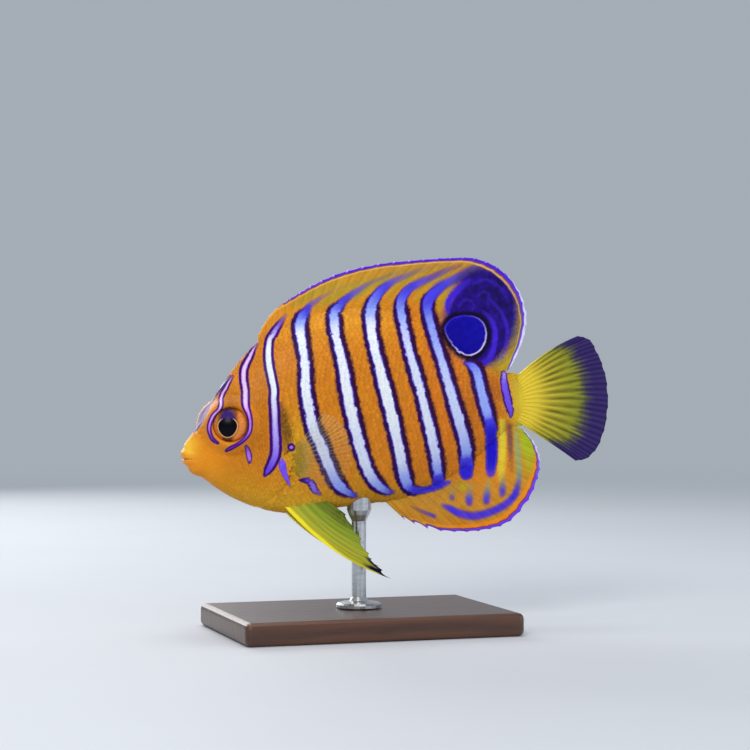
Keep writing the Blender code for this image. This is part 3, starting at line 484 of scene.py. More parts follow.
# broad colours of the body: u, v, reach across and down, colour, strength
dabs = (
    (320, 300, 90, 30, (0.88, 0.62, 0.13), 0.5), (300, 262, 70, 34, (0.86, 0.68, 0.20), 0.55),
    (400, 262, 110, 14, (0.78, 0.62, 0.26), 0.8), (340, 322, 90, 16, (1.0, 0.68, 0.18), 0.6),
    (330, 284, 60, 14, (0.86, 0.66, 0.18), 0.6), (455, 400, 45, 70, (0.90, 0.46, 0.10), 0.6),
    (472, 400, 8, 40, (0.72, 0.38, 0.10), 0.5), (497, 388, 9, 22, (0.72, 0.36, 0.10), 0.8),
    (440, 336, 12, 30, (0.94, 0.44, 0.06), 0.6), (412, 318, 8, 20, (0.94, 0.48, 0.08), 0.4),
    (521, 396, 13, 34, (1.0, 0.84, 0.20), 1.0), (533, 396, 12, 34, (1.0, 0.90, 0.26), 1.0),
    (225, 425, 60, 60, (0.85, 0.51, 0.11), 0.6), (238, 378, 14, 12, (0.96, 0.60, 0.26), 0.5),
    (232, 401, 10, 8, (0.62, 0.36, 0.08), 0.8), (262, 395, 10, 45, (0.80, 0.46, 0.08), 0.6),
    (262, 440, 14, 30, (0.78, 0.45, 0.07), 0.5), (205, 460, 20, 16, (0.95, 0.58, 0.10), 0.8),
    (187, 446, 11, 12, (1.0, 0.80, 0.22), 0.95), (186, 464, 9, 6, (1.0, 0.62, 0.18), 0.9),
    (240, 490, 50, 22, (0.90, 0.63, 0.12), 0.8), (298, 450, 16, 40, (0.94, 0.73, 0.16), 0.75),
    (300, 505, 90, 15, (0.96, 0.75, 0.22), 0.9), (400, 500, 70, 14, (0.80, 0.60, 0.14), 0.8),
    (362, 470, 10, 20, (0.88, 0.64, 0.14), 0.7), (440, 512, 60, 16, (0.80, 0.56, 0.16), 0.8),
    (505, 500, 26, 20, (0.84, 0.60, 0.14), 0.7), (478, 492, 20, 12, (0.86, 0.54, 0.18), 0.5),
    (452, 487, 22, 8, (0.66, 0.58, 0.30), 0.45), (425, 500, 26, 8, (0.80, 0.58, 0.28), 0.5),
    (526, 440, 12, 44, (0.78, 0.72, 0.18), 0.7), (515, 330, 8, 60, (0.60, 0.56, 0.16), 0.9),
    (503, 362, 16, 12, (0.72, 0.66, 0.16), 0.9), (447, 352, 8, 18, (0.62, 0.32, 0.06), 0.5),
    (512, 368, 10, 8, (0.80, 0.66, 0.16), 0.5),
)


def linear(colour):
    colour = np.asarray(colour, float)
    return np.where(colour < 0.04045, colour / 12.92, ((colour + 0.055) / 1.055) ** 2.4)


def rgb(*colour):
    return (*(float(c) for c in linear(colour)), 1.0)


def addFloat(mesh, name, values):
    mesh.attributes.new(name, "FLOAT", "POINT").data.foreach_set("value", np.asarray(values, np.float32))


def addColour(mesh, name, values):
    full = np.ones((len(values), 4), np.float32)
    full[:, :3] = values
    mesh.attributes.new(name, "FLOAT_COLOR", "POINT").data.foreach_set("color", full.ravel())


def tintOf(spots):
    tint = np.tile(np.array(orangeBase), (len(spots), 1))
    for u, v, across, down, colour, strength in dabs:
        weight = strength * np.exp(-(((spots[:, 0] - u) / across) ** 2) - ((spots[:, 1] - v) / down) ** 2)
        tint += (np.array(colour) - tint) * weight[:, None]
    for first, last, line in softMarks:
        path = smoothLine(line, 4)
        near, gap, _, at = nearLine(spots, path, 12)
        half, strength = pathAt(path, at)[:, 2:].T
        weight = strength * ease((half * 1.4 + 0.6 - gap) / (half * 0.8 + 1.2))
        colour = between(np.array(first), np.array(last), ease(at / (len(path) - 1))[:, None])
        tint[near] += (colour - tint[near]) * weight[:, None]
    return linear(tint)


def lineFields(spots, lines, leftEdge, rightEdge, blunt=1.0):
    # signed depths, in px, inside the pale core and inside the dark edge on each side, then the coolness and
    # strength of the nearest line and how much of a dark edge it has
    core, left, right, nearest = (np.full(len(spots), depth) for depth in (-8.0, -8.0, -8.0, -9.0))
    values = np.zeros((3, len(spots)))
    for line in lines:
        path = smoothLine(line, 5)
        near, gap, side, at = nearLine(spots, path, 16, blunt)
        half, edge, cool, show = pathAt(path, at)[:, 2:].T
        core[near] = np.maximum(core[near], half - gap)
        left[near] = np.maximum(left[near], np.minimum(half + leftEdge * edge - gap, side * gap + 2))
        right[near] = np.maximum(right[near], np.minimum(half + rightEdge * edge - gap, 2 - side * gap))
        closer = half - gap > nearest[near]
        nearest[near[closer]] = (half - gap)[closer]
        values[:, near[closer]] = np.stack((cool, show, ease(edge * 1.6)))[:, closer]
    return core, left, right, *values


def paintMarks(mesh, points, jitter=0.0):
    spots = plate(points) + jitter
    names = ("barCore", "barLeft", "barRight", "barCool", "barShow", "barEdge")
    fields = dict(zip(names, lineFields(spots, bars, barEdges["left"], barEdges["right"], 3.0)))
    core, left, right, cool, show, _ = lineFields(spots, stripes, stripeEdge, stripeEdge)
    fields.update(stripeCore=core, stripeEdge=np.maximum(left, right), stripeCool=cool, stripeShow=show)
    swirl = [[(u, v, half, 0, 0, show) for u, v, half, show in line] for line in swirls]
    fields["swirlCore"], _, _, _, fields["swirlShow"], _ = lineFields(spots, swirl, 0, 0)
    for name, outline, steps in (("dusk", duskShape, 4), ("ocellus", ocellusShape, 5)):
        fields[name] = insideShape(spots, smoothLine(outline + outline[:1], steps)[:-1])
    u, v = (spots - np.array(ocellusMiddle)).T
    fields["ringTone"] = 0.5 + 0.5 * np.cos(np.arctan2(v, u) - ocellusBright)
    for name, values in fields.items():
        addFloat(mesh, name, values)
    addColour(mesh, "tint", tintOf(spots))


# Material nodes, made in the tree at work
work = {"tree": None}


class Value:
    # what a node gives, so that sums of values make math nodes
    def __init__(self, socket):
        self.socket = socket

    def __add__(self, other):
        return mathNode("ADD", self, other)

    def __sub__(self, other):
        return mathNode("SUBTRACT", self, other)

    def __rsub__(self, other):
        return mathNode("SUBTRACT", other, self)

    def __mul__(self, other):
        return mathNode("MULTIPLY", self, other)

    def __pow__(self, other):
        return mathNode("POWER", self, other)


def plug(socket, value):
    if isinstance(value, Value):
        work["tree"].links.new(value.socket, socket)
    else:
        socket.default_value = value


def feed(made, **inputs):
    # i and a number names an input by its place
    for name, value in inputs.items():
        plug(made.inputs[int(name[1:]) if name[1:].isdigit() else name.replace("_", " ")], value)


def node(kind, settings=(), give=0, **inputs):
    made = work["tree"].nodes.new(kind)
    for name, value in dict(settings).items():
        setattr(made, name, value)
    feed(made, **inputs)
    return Value(made.outputs[give])


def mathNode(operation, first, second=0.0, clamp=False):
    return node("ShaderNodeMath", {"operation": operation, "use_clamp": clamp}, i0=first, i1=second)


def larger(first, second):
    return mathNode("MAXIMUM", first, second)


def mix(share, low, high, how="MIX"):
    return node("ShaderNodeMix", {"data_type": "RGBA", "blend_type": how}, 2, i0=share, i6=low, i7=high)


def shade(share, low, colour):
    # darkens the colour to low of itself where share is 0
    return mix(1.0, colour, mix(share, (low, low, low, 1), (1, 1, 1, 1)), "MULTIPLY")


def read(name, give="Fac"):
    return node("ShaderNodeAttribute", {"attribute_name": name}, give)


def coords():
    return node("ShaderNodeTexCoord", give="Object")


def mask(field, soft, start=0.0):
    # 0 to 1 as the field passes start
    if isinstance(start, Value):
        field, start = field - start, 0.0
    settings = {"interpolation_type": "SMOOTHSTEP"}
    return node("ShaderNodeMapRange", settings, Value=field, From_Min=start - soft, From_Max=start + soft)


def noise(place, scale, detail=2.0, rough=0.5):
    return node("ShaderNodeTexNoise", Vector=place, Scale=scale, Detail=detail, Roughness=rough)


def bump(strength, distance, height):
    return node("ShaderNodeBump", Strength=strength, Distance=distance, Height=height)


def valuesOf(made):
    return {socket.name: Value(socket) for socket in made.outputs}


def newGroup(name, inputs, outputs):
    tree = work["tree"] = bpy.data.node_groups.new(name, "ShaderNodeTree")
    for label, value in inputs.items():
        made = tree.interface.new_socket(label, in_out="INPUT", socket_type="NodeSocketFloat")
        made.default_value = value
    for label, kind in outputs.items():
        tree.interface.new_socket(label, in_out="OUTPUT", socket_type=kind)
    return tree, valuesOf(tree.nodes.new("NodeGroupInput")), tree.nodes.new("NodeGroupOutput")


def useGroup(group, **inputs):
    made = work["tree"].nodes.new("ShaderNodeGroup")
    made.node_tree = group
    feed(made, **inputs)
    return valuesOf(made)


def newMaterial(name):
    made = bpy.data.materials.new(name)
    made.use_nodes = True
    work["tree"] = made.node_tree
    return made, made.node_tree.nodes["Principled BSDF"]


marksLook = {
    "ragged": 1.1,  # px that the edges wander
    "white": rgb(0.97, 0.99, 1.0), "paleBlue": rgb(0.62, 0.70, 1.0), "blue": rgb(0.30, 0.27, 0.94),
    "deepBlue": rgb(0.13, 0.06, 0.82), "rimDeep": rgb(0.21, 0.07, 0.54), "rimPale": rgb(0.60, 0.55, 1.0),
    "leftDark": rgb(0.19, 0.01, 0.31), "rightDark": rgb(0.22, 0.02, 0.21),
    "ice": rgb(0.92, 0.96, 1.0), "lilacWhite": rgb(0.84, 0.80, 1.0), "lilac": rgb(0.70, 0.60, 1.0),
    "violet": rgb(0.44, 0.28, 0.95), "pink": rgb(0.96, 0.76, 1.0), "pinkLilac": rgb(0.80, 0.52, 0.98),
    "magenta": rgb(0.48, 0.20, 0.86), "purple": rgb(0.26, 0.0, 0.44), "indigo": rgb(0.16, 0.04, 0.56),
    "black": rgb(0.03, 0.0, 0.10), "night": rgb(0.09, 0.01, 0.34), "royal": rgb(0.03, 0.0, 0.62),
    "royalPale": rgb(0.07, 0.02, 0.66), "swirl": rgb(0.27, 0.14, 0.84), "ringDeep": rgb(0.22, 0.10, 0.80),
    "ringPale": rgb(0.90, 0.84, 1.0), "brown": rgb(0.74, 0.38, 0.04), "golden": rgb(0.98, 0.76, 0.28),
}


def makeMarksGroup():
    outputs = {"Colour": "NodeSocketColor", "Pale": "NodeSocketFloat"}
    group, asked, given = newGroup("fishMarks", {"Ragged": 1.0}, outputs)
    place, look = coords(), marksLook
    wander = (noise(place, 1500, 3.0, 0.6) - 0.5) * (2 * look["ragged"]) * asked["Ragged"]

    def field(name, soft, start=0.0, share=1.0):
        return mask(read(name) + wander * share, soft, start)

    # the orange, mottled and flecked with gold where it isn't blue, and the dark of the soft dorsal
    speck = noise(place, 1900, 2.0, 0.5)
    tint = read("tint", "Color")
    colour = mix(mask(noise(place, 260, 3.0, 0.55), 0.22, 0.42), mix(0.18, tint, look["brown"]), tint)
    blue = node("ShaderNodeSeparateColor", give="Blue", Color=colour)
    flecks = mask(speck, 0.14, 0.60) * mathNode("SUBTRACT", 0.22, blue * 1.2, clamp=True)
    colour = mix(flecks, colour, look["golden"])
    dusky = mix(mask(noise(place, 420, 3.0, 0.6), 0.16, 0.50), look["night"], look["indigo"])
    colour = mix(field("dusk", 6.5, 1.5, 2.5), colour, dusky)
    colour = mix(field("swirlCore", 1.8, 0.7, 1.8) * read("swirlShow"), colour, look["swirl"])
    # bars: dark edges, a deep and a pale rim, then the core, bluer where it is cool
    show, cool = read("barShow"), read("barCool")
    dark = show * read("barEdge")
    colour = mix(field("barLeft", 1.4, 0.6, 1.5) * dark, colour, look["leftDark"])
    colour = mix(field("barRight", 1.8, 0.8, 2.0) * dark, colour, look["rightDark"])
    warm = 1 - mask(cool, 0.5, 1.0)
    colour = mix(field("barCore", 1.0, -0.4) * show, colour, look["rimDeep"])
    colour = mix(field("barCore", 0.7, 0.7) * show, colour, mix(warm, look["blue"], look["rimPale"]))
    core = mix(mask(cool, 0.5, 0.5), look["white"], look["paleBlue"])
    core = mix(mask(cool, 0.5, 1.5), core, look["blue"])
    core = mix(mask(cool, 0.5, 2.5), core, look["deepBlue"])
    core = mix(mask(speck, 0.12, 0.62) * 0.3 * warm, core, look["paleBlue"])
    barMask = field("barCore", 0.8, 1.4) * show
    colour = mix(barMask, colour, core)
    # stripes: a purple edge, then a core from white through violet to magenta, whiter down its middle
    show, cool = read("stripeShow"), read("stripeCool")
    colour = mix(field("stripeEdge", 0.7, 0.0, 0.3) * show, colour, look["purple"])
    core = mix(mask(cool, 0.5, -0.5), look["ice"], look["lilacWhite"])
    tones = {0.5: "lilac", 1.5: "violet", 2.5: "black", 3.4: "pink", 4.5: "pinkLilac", 5.5: "magenta"}
    for start, name in tones.items():
        core = mix(mask(cool, 0.5, start), core, look[name])
    violetPart = mask(cool, 0.5, 1.0) * (1 - mask(cool, 0.4, 3.0))
    middle = field("stripeCore", 0.8, 2.2, 0.3) * 0.55 * (1 - larger(violetPart, mask(cool, 0.4, 5.0)))
    stripeMask = field("stripeCore", 0.7, 0.9, 0.3) * show
    colour = mix(stripeMask, colour, mix(middle, core, look["white"]))
    # the eye spot: a black surround, the ring and the blue inside it
    colour = mix(field("ocellus", 2.0, -5.4, 0.8) * 0.94, colour, look["black"])
    ring = mix(read("ringTone") ** 1.6, look["ringDeep"], look["ringPale"])
    colour = mix(field("ocellus", 0.5, -1.2, 0.4), colour, ring)
    royal = mix(mask(noise(place, 700, 2.0), 0.2, 0.5), look["royal"], look["royalPale"])
    colour = mix(field("ocellus", 0.6, 0.2, 0.4), colour, royal)
    feed(given, Colour=colour, Pale=larger(barMask, stripeMask))
    return group


marksGroup = makeMarksGroup()


def coatMaterial(name, ragged, roughness, bumpScale, bumpHeight, shaded=False):
    made, shader = newMaterial(name)
    marks = useGroup(marksGroup, Ragged=ragged)
    colour = marks["Colour"]
    if shaded:  # each scale a little lighter or darker than the next, with painted shade at its root
        pale = marks["Pale"] * 0.75
        colour = shade(larger(read("scaleShade"), pale), 0.84, colour)
        # painted shade at each scale's root, where it tucks under the one ahead, weaker on the pale marks
        colour = shade(larger(mask(read("scaleOut"), 0.45, 0.45), pale), 0.74, colour)
    grain = noise(coords(), bumpScale, 3.0, 0.6)
    feed(shader, Base_Color=colour, Roughness=grain * 0.22 + (roughness - 0.11), Specular_IOR_Level=0.1)
    feed(shader, Normal=bump(0.5, bumpHeight, grain), Coat_Weight=0.03, Coat_Roughness=0.25)
    return made


skinMaterial = coatMaterial("wetSkin", 0.6, 0.40, 1600, 0.00008)
scaleMaterial = coatMaterial("scales", 1.0, 0.44, 2600, 0.00003, shaded=True)


# Pieces
def newPiece(name):
    piece = bpy.context.object
    piece.name = piece.data.name = name
    return piece


def pointsOf(mesh):
    co = np.empty(len(mesh.vertices) * 3, np.float32)
    mesh.vertices.foreach_get("co", co)
    return co.reshape(-1, 3).astype(float)


def newBall(name, around, rings):
    # a unit ball: its points, the ring of each (0 and rings + 1 at the poles) and its turn round the poles
    bpy.ops.mesh.primitive_uv_sphere_add(segments=around, ring_count=rings + 1, radius=1, calc_uvs=False)
    piece = newPiece(name)
    ball = pointsOf(piece.data)
    ring = np.rint(np.arccos(np.clip(ball[:, 2], -1, 1)) / np.pi * (rings + 1)).astype(int)
    return piece, ball, ring, np.arctan2(ball[:, 1], ball[:, 0])


def newSheet(name, across, out):
    # a grid made a thin closed wall: its points from 0 to 1 both ways, and 1 or -1 for the wall's two faces
    bpy.ops.mesh.primitive_grid_add(x_subdivisions=across, y_subdivisions=out, size=1)
    piece = newPiece(name)
    wall = piece.modifiers.new("wall", "SOLIDIFY")
    wall.thickness, wall.offset = 0.01, 0.0
    bpy.ops.object.modifier_apply(modifier="wall")
    x, y, z = pointsOf(piece.data).T
    return piece, x + 0.5, y + 0.5, np.where(z > 0, 1.0, -1.0)


def shapePiece(piece, places):
    # moves the points, turns the faces outward
    piece.data.vertices.foreach_set("co", (places * mm).astype(np.float32).ravel())
    piece.data.update()
    bpy.ops.object.select_all(action="DESELECT")
    piece.select_set(True)
    bpy.context.view_layer.objects.active = piece
    bpy.ops.object.mode_set(mode="EDIT")
    bpy.ops.mesh.select_all(action="SELECT")
    bpy.ops.mesh.normals_make_consistent(inside=False)
    bpy.ops.object.mode_set(mode="OBJECT")


def finishPiece(piece, material, nodes, sharp=None):
    piece.data.materials.clear()
    piece.data.materials.append(material)
    piece.data.shade_smooth()
    if sharp:
        piece.data.set_sharp_from_angle(angle=math.radians(sharp))
    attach(piece, "root")
    if nodes:
        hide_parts(*nodes)


def ringStations():
    first, second = body["headEnd"], body["shoulderEnd"]
    head = first * (np.arange(1, body["headRings"] + 1) / body["headRings"]) ** 1.25
    shoulder = np.linspace(first, second, body["shoulderRings"] + 1)[1:]
    return np.concatenate((head, shoulder, np.linspace(second, lastSection, body["trunkRings"] + 1)[1:]))


def makeSkin():
    stations = ringStations()
    piece, _, ring, turn = newBall("skin", body["around"], len(stations))
    places = skinPoints(stations[np.clip(ring - 1, 0, len(stations) - 1)], turn)
    places[ring == 0] = (body["snout"][0], 0, body["snout"][1])
    places[ring > len(stations)] = (body["tailTip"], 0, (sections[-1][1] + sections[-1][3]) / 2)
    shapePiece(piece, places)
    paintMarks(piece.data, places)
    finishPiece(piece, skinMaterial, ("head", "body", "tail_stalk"))


print("skin")
makeSkin()


# Fins
fins = {
    "dorsal": {
        "root": (
            (-32.4, 60.6), (-26.5, 65.0), (-17.5, 68.6), (-7.4, 69.4), (2.6, 67.0), (11.6, 61.6),
            (22.4, 54.8),
        ),
        "tips": (
            (-33.0, 65.0), (-29.9, 69.8), (-26.2, 72.7), (-20.8, 75.9), (-14.2, 78.8), (-5.8, 80.8),
            (2.8, 81.8), (10.4, 82.4), (17.4, 82.4), (23.6, 79.9), (27.8, 75.4), (29.7, 69.8),
            (28.9, 64.2), (26.4, 58.8),
        ),
        "rays": 32, "perRay": 10, "rows": 44, "thick": (0.80, 0.22, 0.20), "reach": 0.18, "ripple": 0.10,
        # how far the skin is cut back between the rays, by ray, and how far out the scales go, by share
        "notch": ((0, 0.15), (4, 0.15), (10, 0.12), (14, 0.05), (17, 0)),
        "scaled": ((0, 0.1), (0.1, 0.45), (0.5, 0.62), (1, 0.6)),
    },
    "anal": {
        "root": (
            (-6.6, 31.0), (0.0, 31.6), (6.4, 33.4), (12.0, 36.4), (17.0, 40.4), (20.4, 44.2), (23.4, 46.6),
        ),
        "tips": (
            (0.6, 24.3), (6.6, 22.1), (13.6, 21.4), (19.8, 21.7), (25.4, 23.4), (30.2, 28.4), (32.6, 33.8),
            (32.9, 37.6), (31.5, 41.2), (29.2, 43.8),
        ),
        "rays": 21, "perRay": 10, "rows": 44, "thick": (0.80, 0.22, 0.20), "reach": 0.3, "ripple": 0.10,
        "notch": ((0, 1.3), (2.4, 1.0), (3.2, 0.15), (4, 0)),
        "scaled": ((0, 0.3), (0.2, 0.5), (0.8, 0.6), (1, 0.5)),
    },
    "tail": {
        "root": ((27.0, 55.6), (27.9, 53.4), (28.1, 50.8), (27.9, 48.2), (27.0, 46.0)),
        "tips": (
            (42.3, 65.2), (45.2, 64.3), (47.3, 61.0), (49.0, 56.8), (49.75, 51.6), (49.4, 46.4), (47.8, 41.0),
            (45.0, 37.6), (41.8, 36.8),
        ),
        "rays": 17, "perRay": 12, "rows": 52, "thick": (0.85, 0.16, 0.20), "reach": 0.15, "ripple": 0.16,
    },
}
pectoral = {
    "rootTop": (-26.7, 40.9), "rootLow": (-26.4, 35.4), "swing": math.radians(46), "bow": (0.35, 0.9, 0),
    # tips from the top ray down: how far back and up from its root
    "tips": (
        (6.4, 7.2), (9.6, 7.3), (12.2, 5.7), (13.6, 3.2), (13.8, 0.4), (12.6, -2.0), (10.0, -3.2),
        (7.0, -3.2),
    ),
    "rays": 14, "perRay": 10, "rows": 36, "thick": (0.36, 0.12, 0.14), "reach": 0.2, "ripple": 0.08,
}
pelvic = {
    # leading ray first: x, z and how far out
    "root": (
        (-27.6, 27.8, 2.0), (-25.8, 28.2, 2.3), (-24.0, 28.6, 2.5), (-22.2, 28.9, 2.5), (-20.4, 29.1, 2.4),
        (-18.8, 29.3, 2.2),
    ),
    "tips": (
        (-4.6, 11.9, 5.4), (-6.5, 13.8, 5.3), (-9.5, 17.5, 4.9), (-11.1, 20.7, 4.5), (-12.8, 23.4, 4.0),
        (-14.3, 26.0, 3.4),
    ),
    "lift": {"left": 0.0, "right": math.radians(4)}, "bow": (-0.9, 0.3, -1.7), "lead": 0.15,
    "rays": 6, "perRay": 16, "rows": 52, "thick": (0.45, 0.2, 0.16), "reach": 0.3, "ripple": 0.05,
    "notch": ((0, 1.0), (0.9, 1.0), (1.1, 1.0), (4, 0.6), (5, 0.4)),
}


def finMiddle(roots, tips, across, out, bow=None):
    place = between(alongLine(roots, across), alongLine(tips, across), out[:, None])
    return place + bow(across) * (4 * out * (1 - out))[:, None] if bow else place


def finWalls(fin, across, out, length, branch):
    # half thickness, more along each ray, and how near a ray is
    rayAt = across * (fin["rays"] - 1)
    off = np.abs(rayAt - np.rint(rayAt))
    whole = np.exp(-((off / 0.17) ** 2))
    split = 0.16 * ease((out - 0.35) / 0.4)  # a ray forks towards the margin
    forked = np.exp(-(((off - split * 1.4) / 0.13) ** 2))
    turned = branch * ease((out - 0.3) / 0.3)
    root, edge, ridge = fin["thick"]
    half = root + (edge - root) * np.minimum(1, out * 1.15) ** 0.7
    half += ridge * (whole * (1 - turned) + forked * turned) * (1 - 0.6 * out)
    half += fin.get("lead", 0) * (1 - 0.8 * out) * np.exp(-((rayAt / 0.35) ** 2))
    return half * (0.25 + 0.75 * ease((1 - out) * length / 0.7 + 0.1)), whole


def finSway(fin, rayAt, out):
    return fin["ripple"] * np.sin(rayAt * math.pi) * ease(out * 1.4 - 0.3)


def makeFin(name, roots, tips, fin, bow=None, branch=0.0):
    last = fin["rays"] - 1
    piece, across, out, upper = newSheet(name, last * fin["perRay"], fin["rows"])
    across, out = np.clip(across, 0, 1), np.clip(out, 0, 1)
    roots, tips = np.array(roots, float), np.array(tips, float)
    length = np.linalg.norm(alongLine(tips, across) - alongLine(roots, across), axis=1)
    rayAt = across * last
    notch = zip(*fin.get("notch", ((0, 0), (1, 0))))
    cutBack = np.interp(rayAt, *notch) * np.abs(np.sin(rayAt * math.pi)) ** 0.7
    cut = out * (1 - cutBack / length * ease(out * 2 - 1))

    def middle(stepAcross=0.0, stepOut=0.0):
        return finMiddle(roots, tips, np.clip(across + stepAcross, 0, 1), np.clip(cut + stepOut, 0, 1), bow)

    away = unit(middle(0, 0.01) - middle(0, -0.01))
    normal = unit(np.cross(middle(0.01) - middle(-0.01), away))
    half, whole = finWalls(fin, across, out, length, branch)
    place = middle() + away * (fin["reach"] * whole * ease((out - 0.9) / 0.1))[:, None]
    place += normal * (half * upper + finSway(fin, rayAt, out))[:, None]
    shapePiece(piece, place)
    for label, values in (("rayAt", rayAt), ("rayOut", out), ("margin", (1 - out) * length)):
        addFloat(piece.data, label, values)
    return piece, place, across


def alongMid(points):
    return np.array([(x, 0.0, z) for x, z in points])


def makeRayGroup():
    # fine lines along the rays, forking outwards from Start, and again if Again says so
    inputs = {"Fork": 1.0, "Start": 0.4, "Again": 1.0, "Sharp": 2.0}
    outputs = dict.fromkeys(("Line", "Height", "Ray"), "NodeSocketFloat")
    group, asked, given = newGroup("rayLines", inputs, outputs)
    at, out = read("rayAt"), read("rayOut")

    def lines(times, shift, sharp):
        return (mathNode("COSINE", (at * times + shift) * (2 * math.pi)) * 0.5 + 0.5) ** sharp

    sharp = asked["Sharp"]
    far = mask(out, 0.12, asked["Start"]) * asked["Fork"]
    first = node("ShaderNodeMix", i0=far, i2=lines(1.0, 0.0, sharp), i3=lines(2.0, 0.5, sharp))
    farther = mask(out, 0.12, 0.74) * asked["Again"]
    line = node("ShaderNodeMix", i0=farther, i2=first, i3=lines(4.0, 0.5, sharp))
    joints = mathNode("SINE", out * 330.0) * 0.08 + 0.92
    feed(given, Line=line, Ray=lines(1.0, 0.0, 5.0), Height=line * joints)
    return group


rayGroup = makeRayGroup()


def finShader(name, roughness, fork, start, again, sharp, strength=0.5):
    made, shader = newMaterial(name)
    rays = useGroup(rayGroup, Fork=fork, Start=start, Again=again, Sharp=sharp)
    feed(shader, Normal=bump(strength, 0.00018, rays["Height"]), Roughness=roughness, Specular_IOR_Level=0.12)
    return made, shader, rays


def medianFinMaterial():
    # dorsal and anal fins: the body's markings, darkened between the rays with painted shade, then the margin
    made, shader, rays = finShader("medianFin", 0.42, 0.6, 0.5, 0.0, 1.2, 0.35)
    marks = useGroup(marksGroup, Ragged=0.9)
    # darker between the rays away from the root: painted shade in the furrows between them
    colour = shade(1 - (1 - rays["Line"]) * mask(read("rayOut"), 0.2, 0.6), 0.80, marks["Colour"])
    margin = read("margin") + (noise(coords(), 420, 3.0, 0.7) - 0.5) * 0.5

    def within(soft, width):
        return 1 - mask(margin, soft, width)

    colour = mix(within(0.2, read("edgeWide")) * read("edgeShow"), colour, read("edgeInner", "Color"))
    colour = mix(within(0.14, read("edgeThin") + 0.3) * 0.85, colour, rgb(0.36, 0.10, 0.30))
    colour = mix(within(0.12, read("edgeThin")), colour, read("edgeOuter", "Color"))
    colour = mix(within(0.12, read("edgeRim")), colour, rgb(0.90, 0.88, 1.0))
    tips = within(0.15, 0.4) * rays["Ray"] ** 4.0
    feed(shader, Base_Color=mix(tips * read("edgeDots"), colour, rgb(0.84, 0.72, 1.0)))
    return made


# widths: share along the fin, inner line, outer line and pale rim (mm), then how strongly the inner line
# shows and the ray tips stand out; the two lines' colours are by share along the fin too
margins = {
    "dorsal": {
        "widths": (
            (0.0, 0.5, -0.4, 0, 0.6, 0.0), (0.1, 0.7, -0.3, 0, 0.8, 0.1), (0.17, 1.1, 0.4, 0, 0.9, 0.8),
            (0.3, 1.45, 0.75, 0, 1, 0.9), (0.5, 1.6, 0.85, 0, 1, 0.8), (0.66, 1.75, 0.95, 0, 1, 0.6),
            (0.74, 1.8, 1.05, 0.15, 0.9, 0.3), (0.8, 1.7, 1.1, 0.5, 0.8, 0), (0.86, 1.8, 1.25, 0.8, 0.7, 0),
            (0.93, 2.2, 1.6, 1.05, 0.6, 0), (1.0, 2.6, 2.0, 1.4, 0.5, 0),
        ),
        "edgeInner": (
            (0.0, 0.95, 0.62, 0.15), (0.3, 0.96, 0.72, 0.36), (0.78, 0.90, 0.68, 0.40),
            (0.86, 0.86, 0.76, 0.52), (1.0, 0.86, 0.80, 0.5),
        ),
        "edgeOuter": (
            (0.0, 0.42, 0.20, 0.66), (0.1, 0.36, 0.14, 0.80), (0.7, 0.32, 0.10, 0.80),
            (0.84, 0.40, 0.26, 0.86), (1.0, 0.46, 0.34, 0.88),
        ),
    },
    "anal": {
        "widths": (
            (0.0, 1.6, 0.35, 0, 0.7, 0), (0.15, 2.0, 0.65, 0, 1, 0), (0.45, 2.1, 0.8, 0, 1, 0),
            (0.7, 1.9, 0.75, 0.1, 0.9, 0), (0.82, 1.2, 0.75, 0.5, 0.4, 0), (1.0, 1.1, 0.8, 0.65, 0.2, 0),
        ),
        "edgeInner": (
            (0.0, 0.86, 0.60, 0.20), (0.3, 0.96, 0.54, 0.09), (0.6, 0.95, 0.57, 0.10),
            (0.8, 0.88, 0.62, 0.14), (1.0, 0.70, 0.74, 0.2),
        ),
        "edgeOuter": (
            (0.0, 0.60, 0.38, 0.74), (0.15, 0.48, 0.24, 0.96), (0.6, 0.46, 0.24, 0.98),
            (0.8, 0.56, 0.44, 0.98), (1.0, 0.70, 0.66, 1.0),
        ),
    },
}


def paintMargin(mesh, margin, across):
    shares, *columns = np.array(margin["widths"]).T
    for name, column in zip(("edgeWide", "edgeThin", "edgeRim", "edgeShow", "edgeDots"), columns):
        addFloat(mesh, name, np.interp(across, shares, column))
    for name in ("edgeInner", "edgeOuter"):
        shares, *colour = np.array(margin[name]).T
        addColour(mesh, name, np.stack([np.interp(across, shares, part) for part in linear(colour)], -1))


def makeMedianFins():
    material = medianFinMaterial()
    for which, margin in margins.items():
        fin = fins[which]
        piece, place, across = makeFin(f"{which}Fin", alongMid(fin["root"]), alongMid(fin["tips"]), fin)
        paintMarks(piece.data, place)
        paintMargin(piece.data, margin, across)
        finishPiece(piece, material, (f"{which}_fin",))


print("median fins")
makeMedianFins()


def tailMaterial():
    made, shader, rays = finShader("tailFin", 0.4, 1.0, 0.66, 0.0, 0.9)
    line, at, out, band = rays["Line"], read("rayAt"), read("rayOut"), read("bandWide")

    def drawn(across, along):
        # noise drawn out along the rays
        return noise(node("ShaderNodeCombineXYZ", X=at * across, Y=out * along), 1.0, 2.0)

    base = mix(mask(out, 0.14, 0.24), rgb(0.95, 0.80, 0.22), rgb(0.36, 0.35, 0.07))
    bright = mix(mask(out, 0.3, 0.36), rgb(0.93, 0.82, 0.24), rgb(0.61, 0.61, 0.18))
    seen = mask(out, 0.1, 0.17) * (mask(drawn(2.3, 4.0), 0.25, 0.5) * 0.5 + 0.5)
    colour = mix(line, mix(seen, bright, base), bright)
    edge = read("margin") + ((noise(coords(), 420, 3.0, 0.7) - 0.5) * 3.0 + line)
    edge = edge + (drawn(3.4, 3.0) - 0.5) * read("dashReach")
    colour = mix((1 - mask(edge, 1.6, band + 1.3)) * 0.8, colour, rgb(0.30, 0.32, 0.14))
    violet = mix(line * 0.4, rgb(0.15, 0.09, 0.33), rgb(0.30, 0.22, 0.54))
    feed(shader, Base_Color=mix((1 - mask(edge, 2.2, band)) * 0.97, colour, violet))
    return made


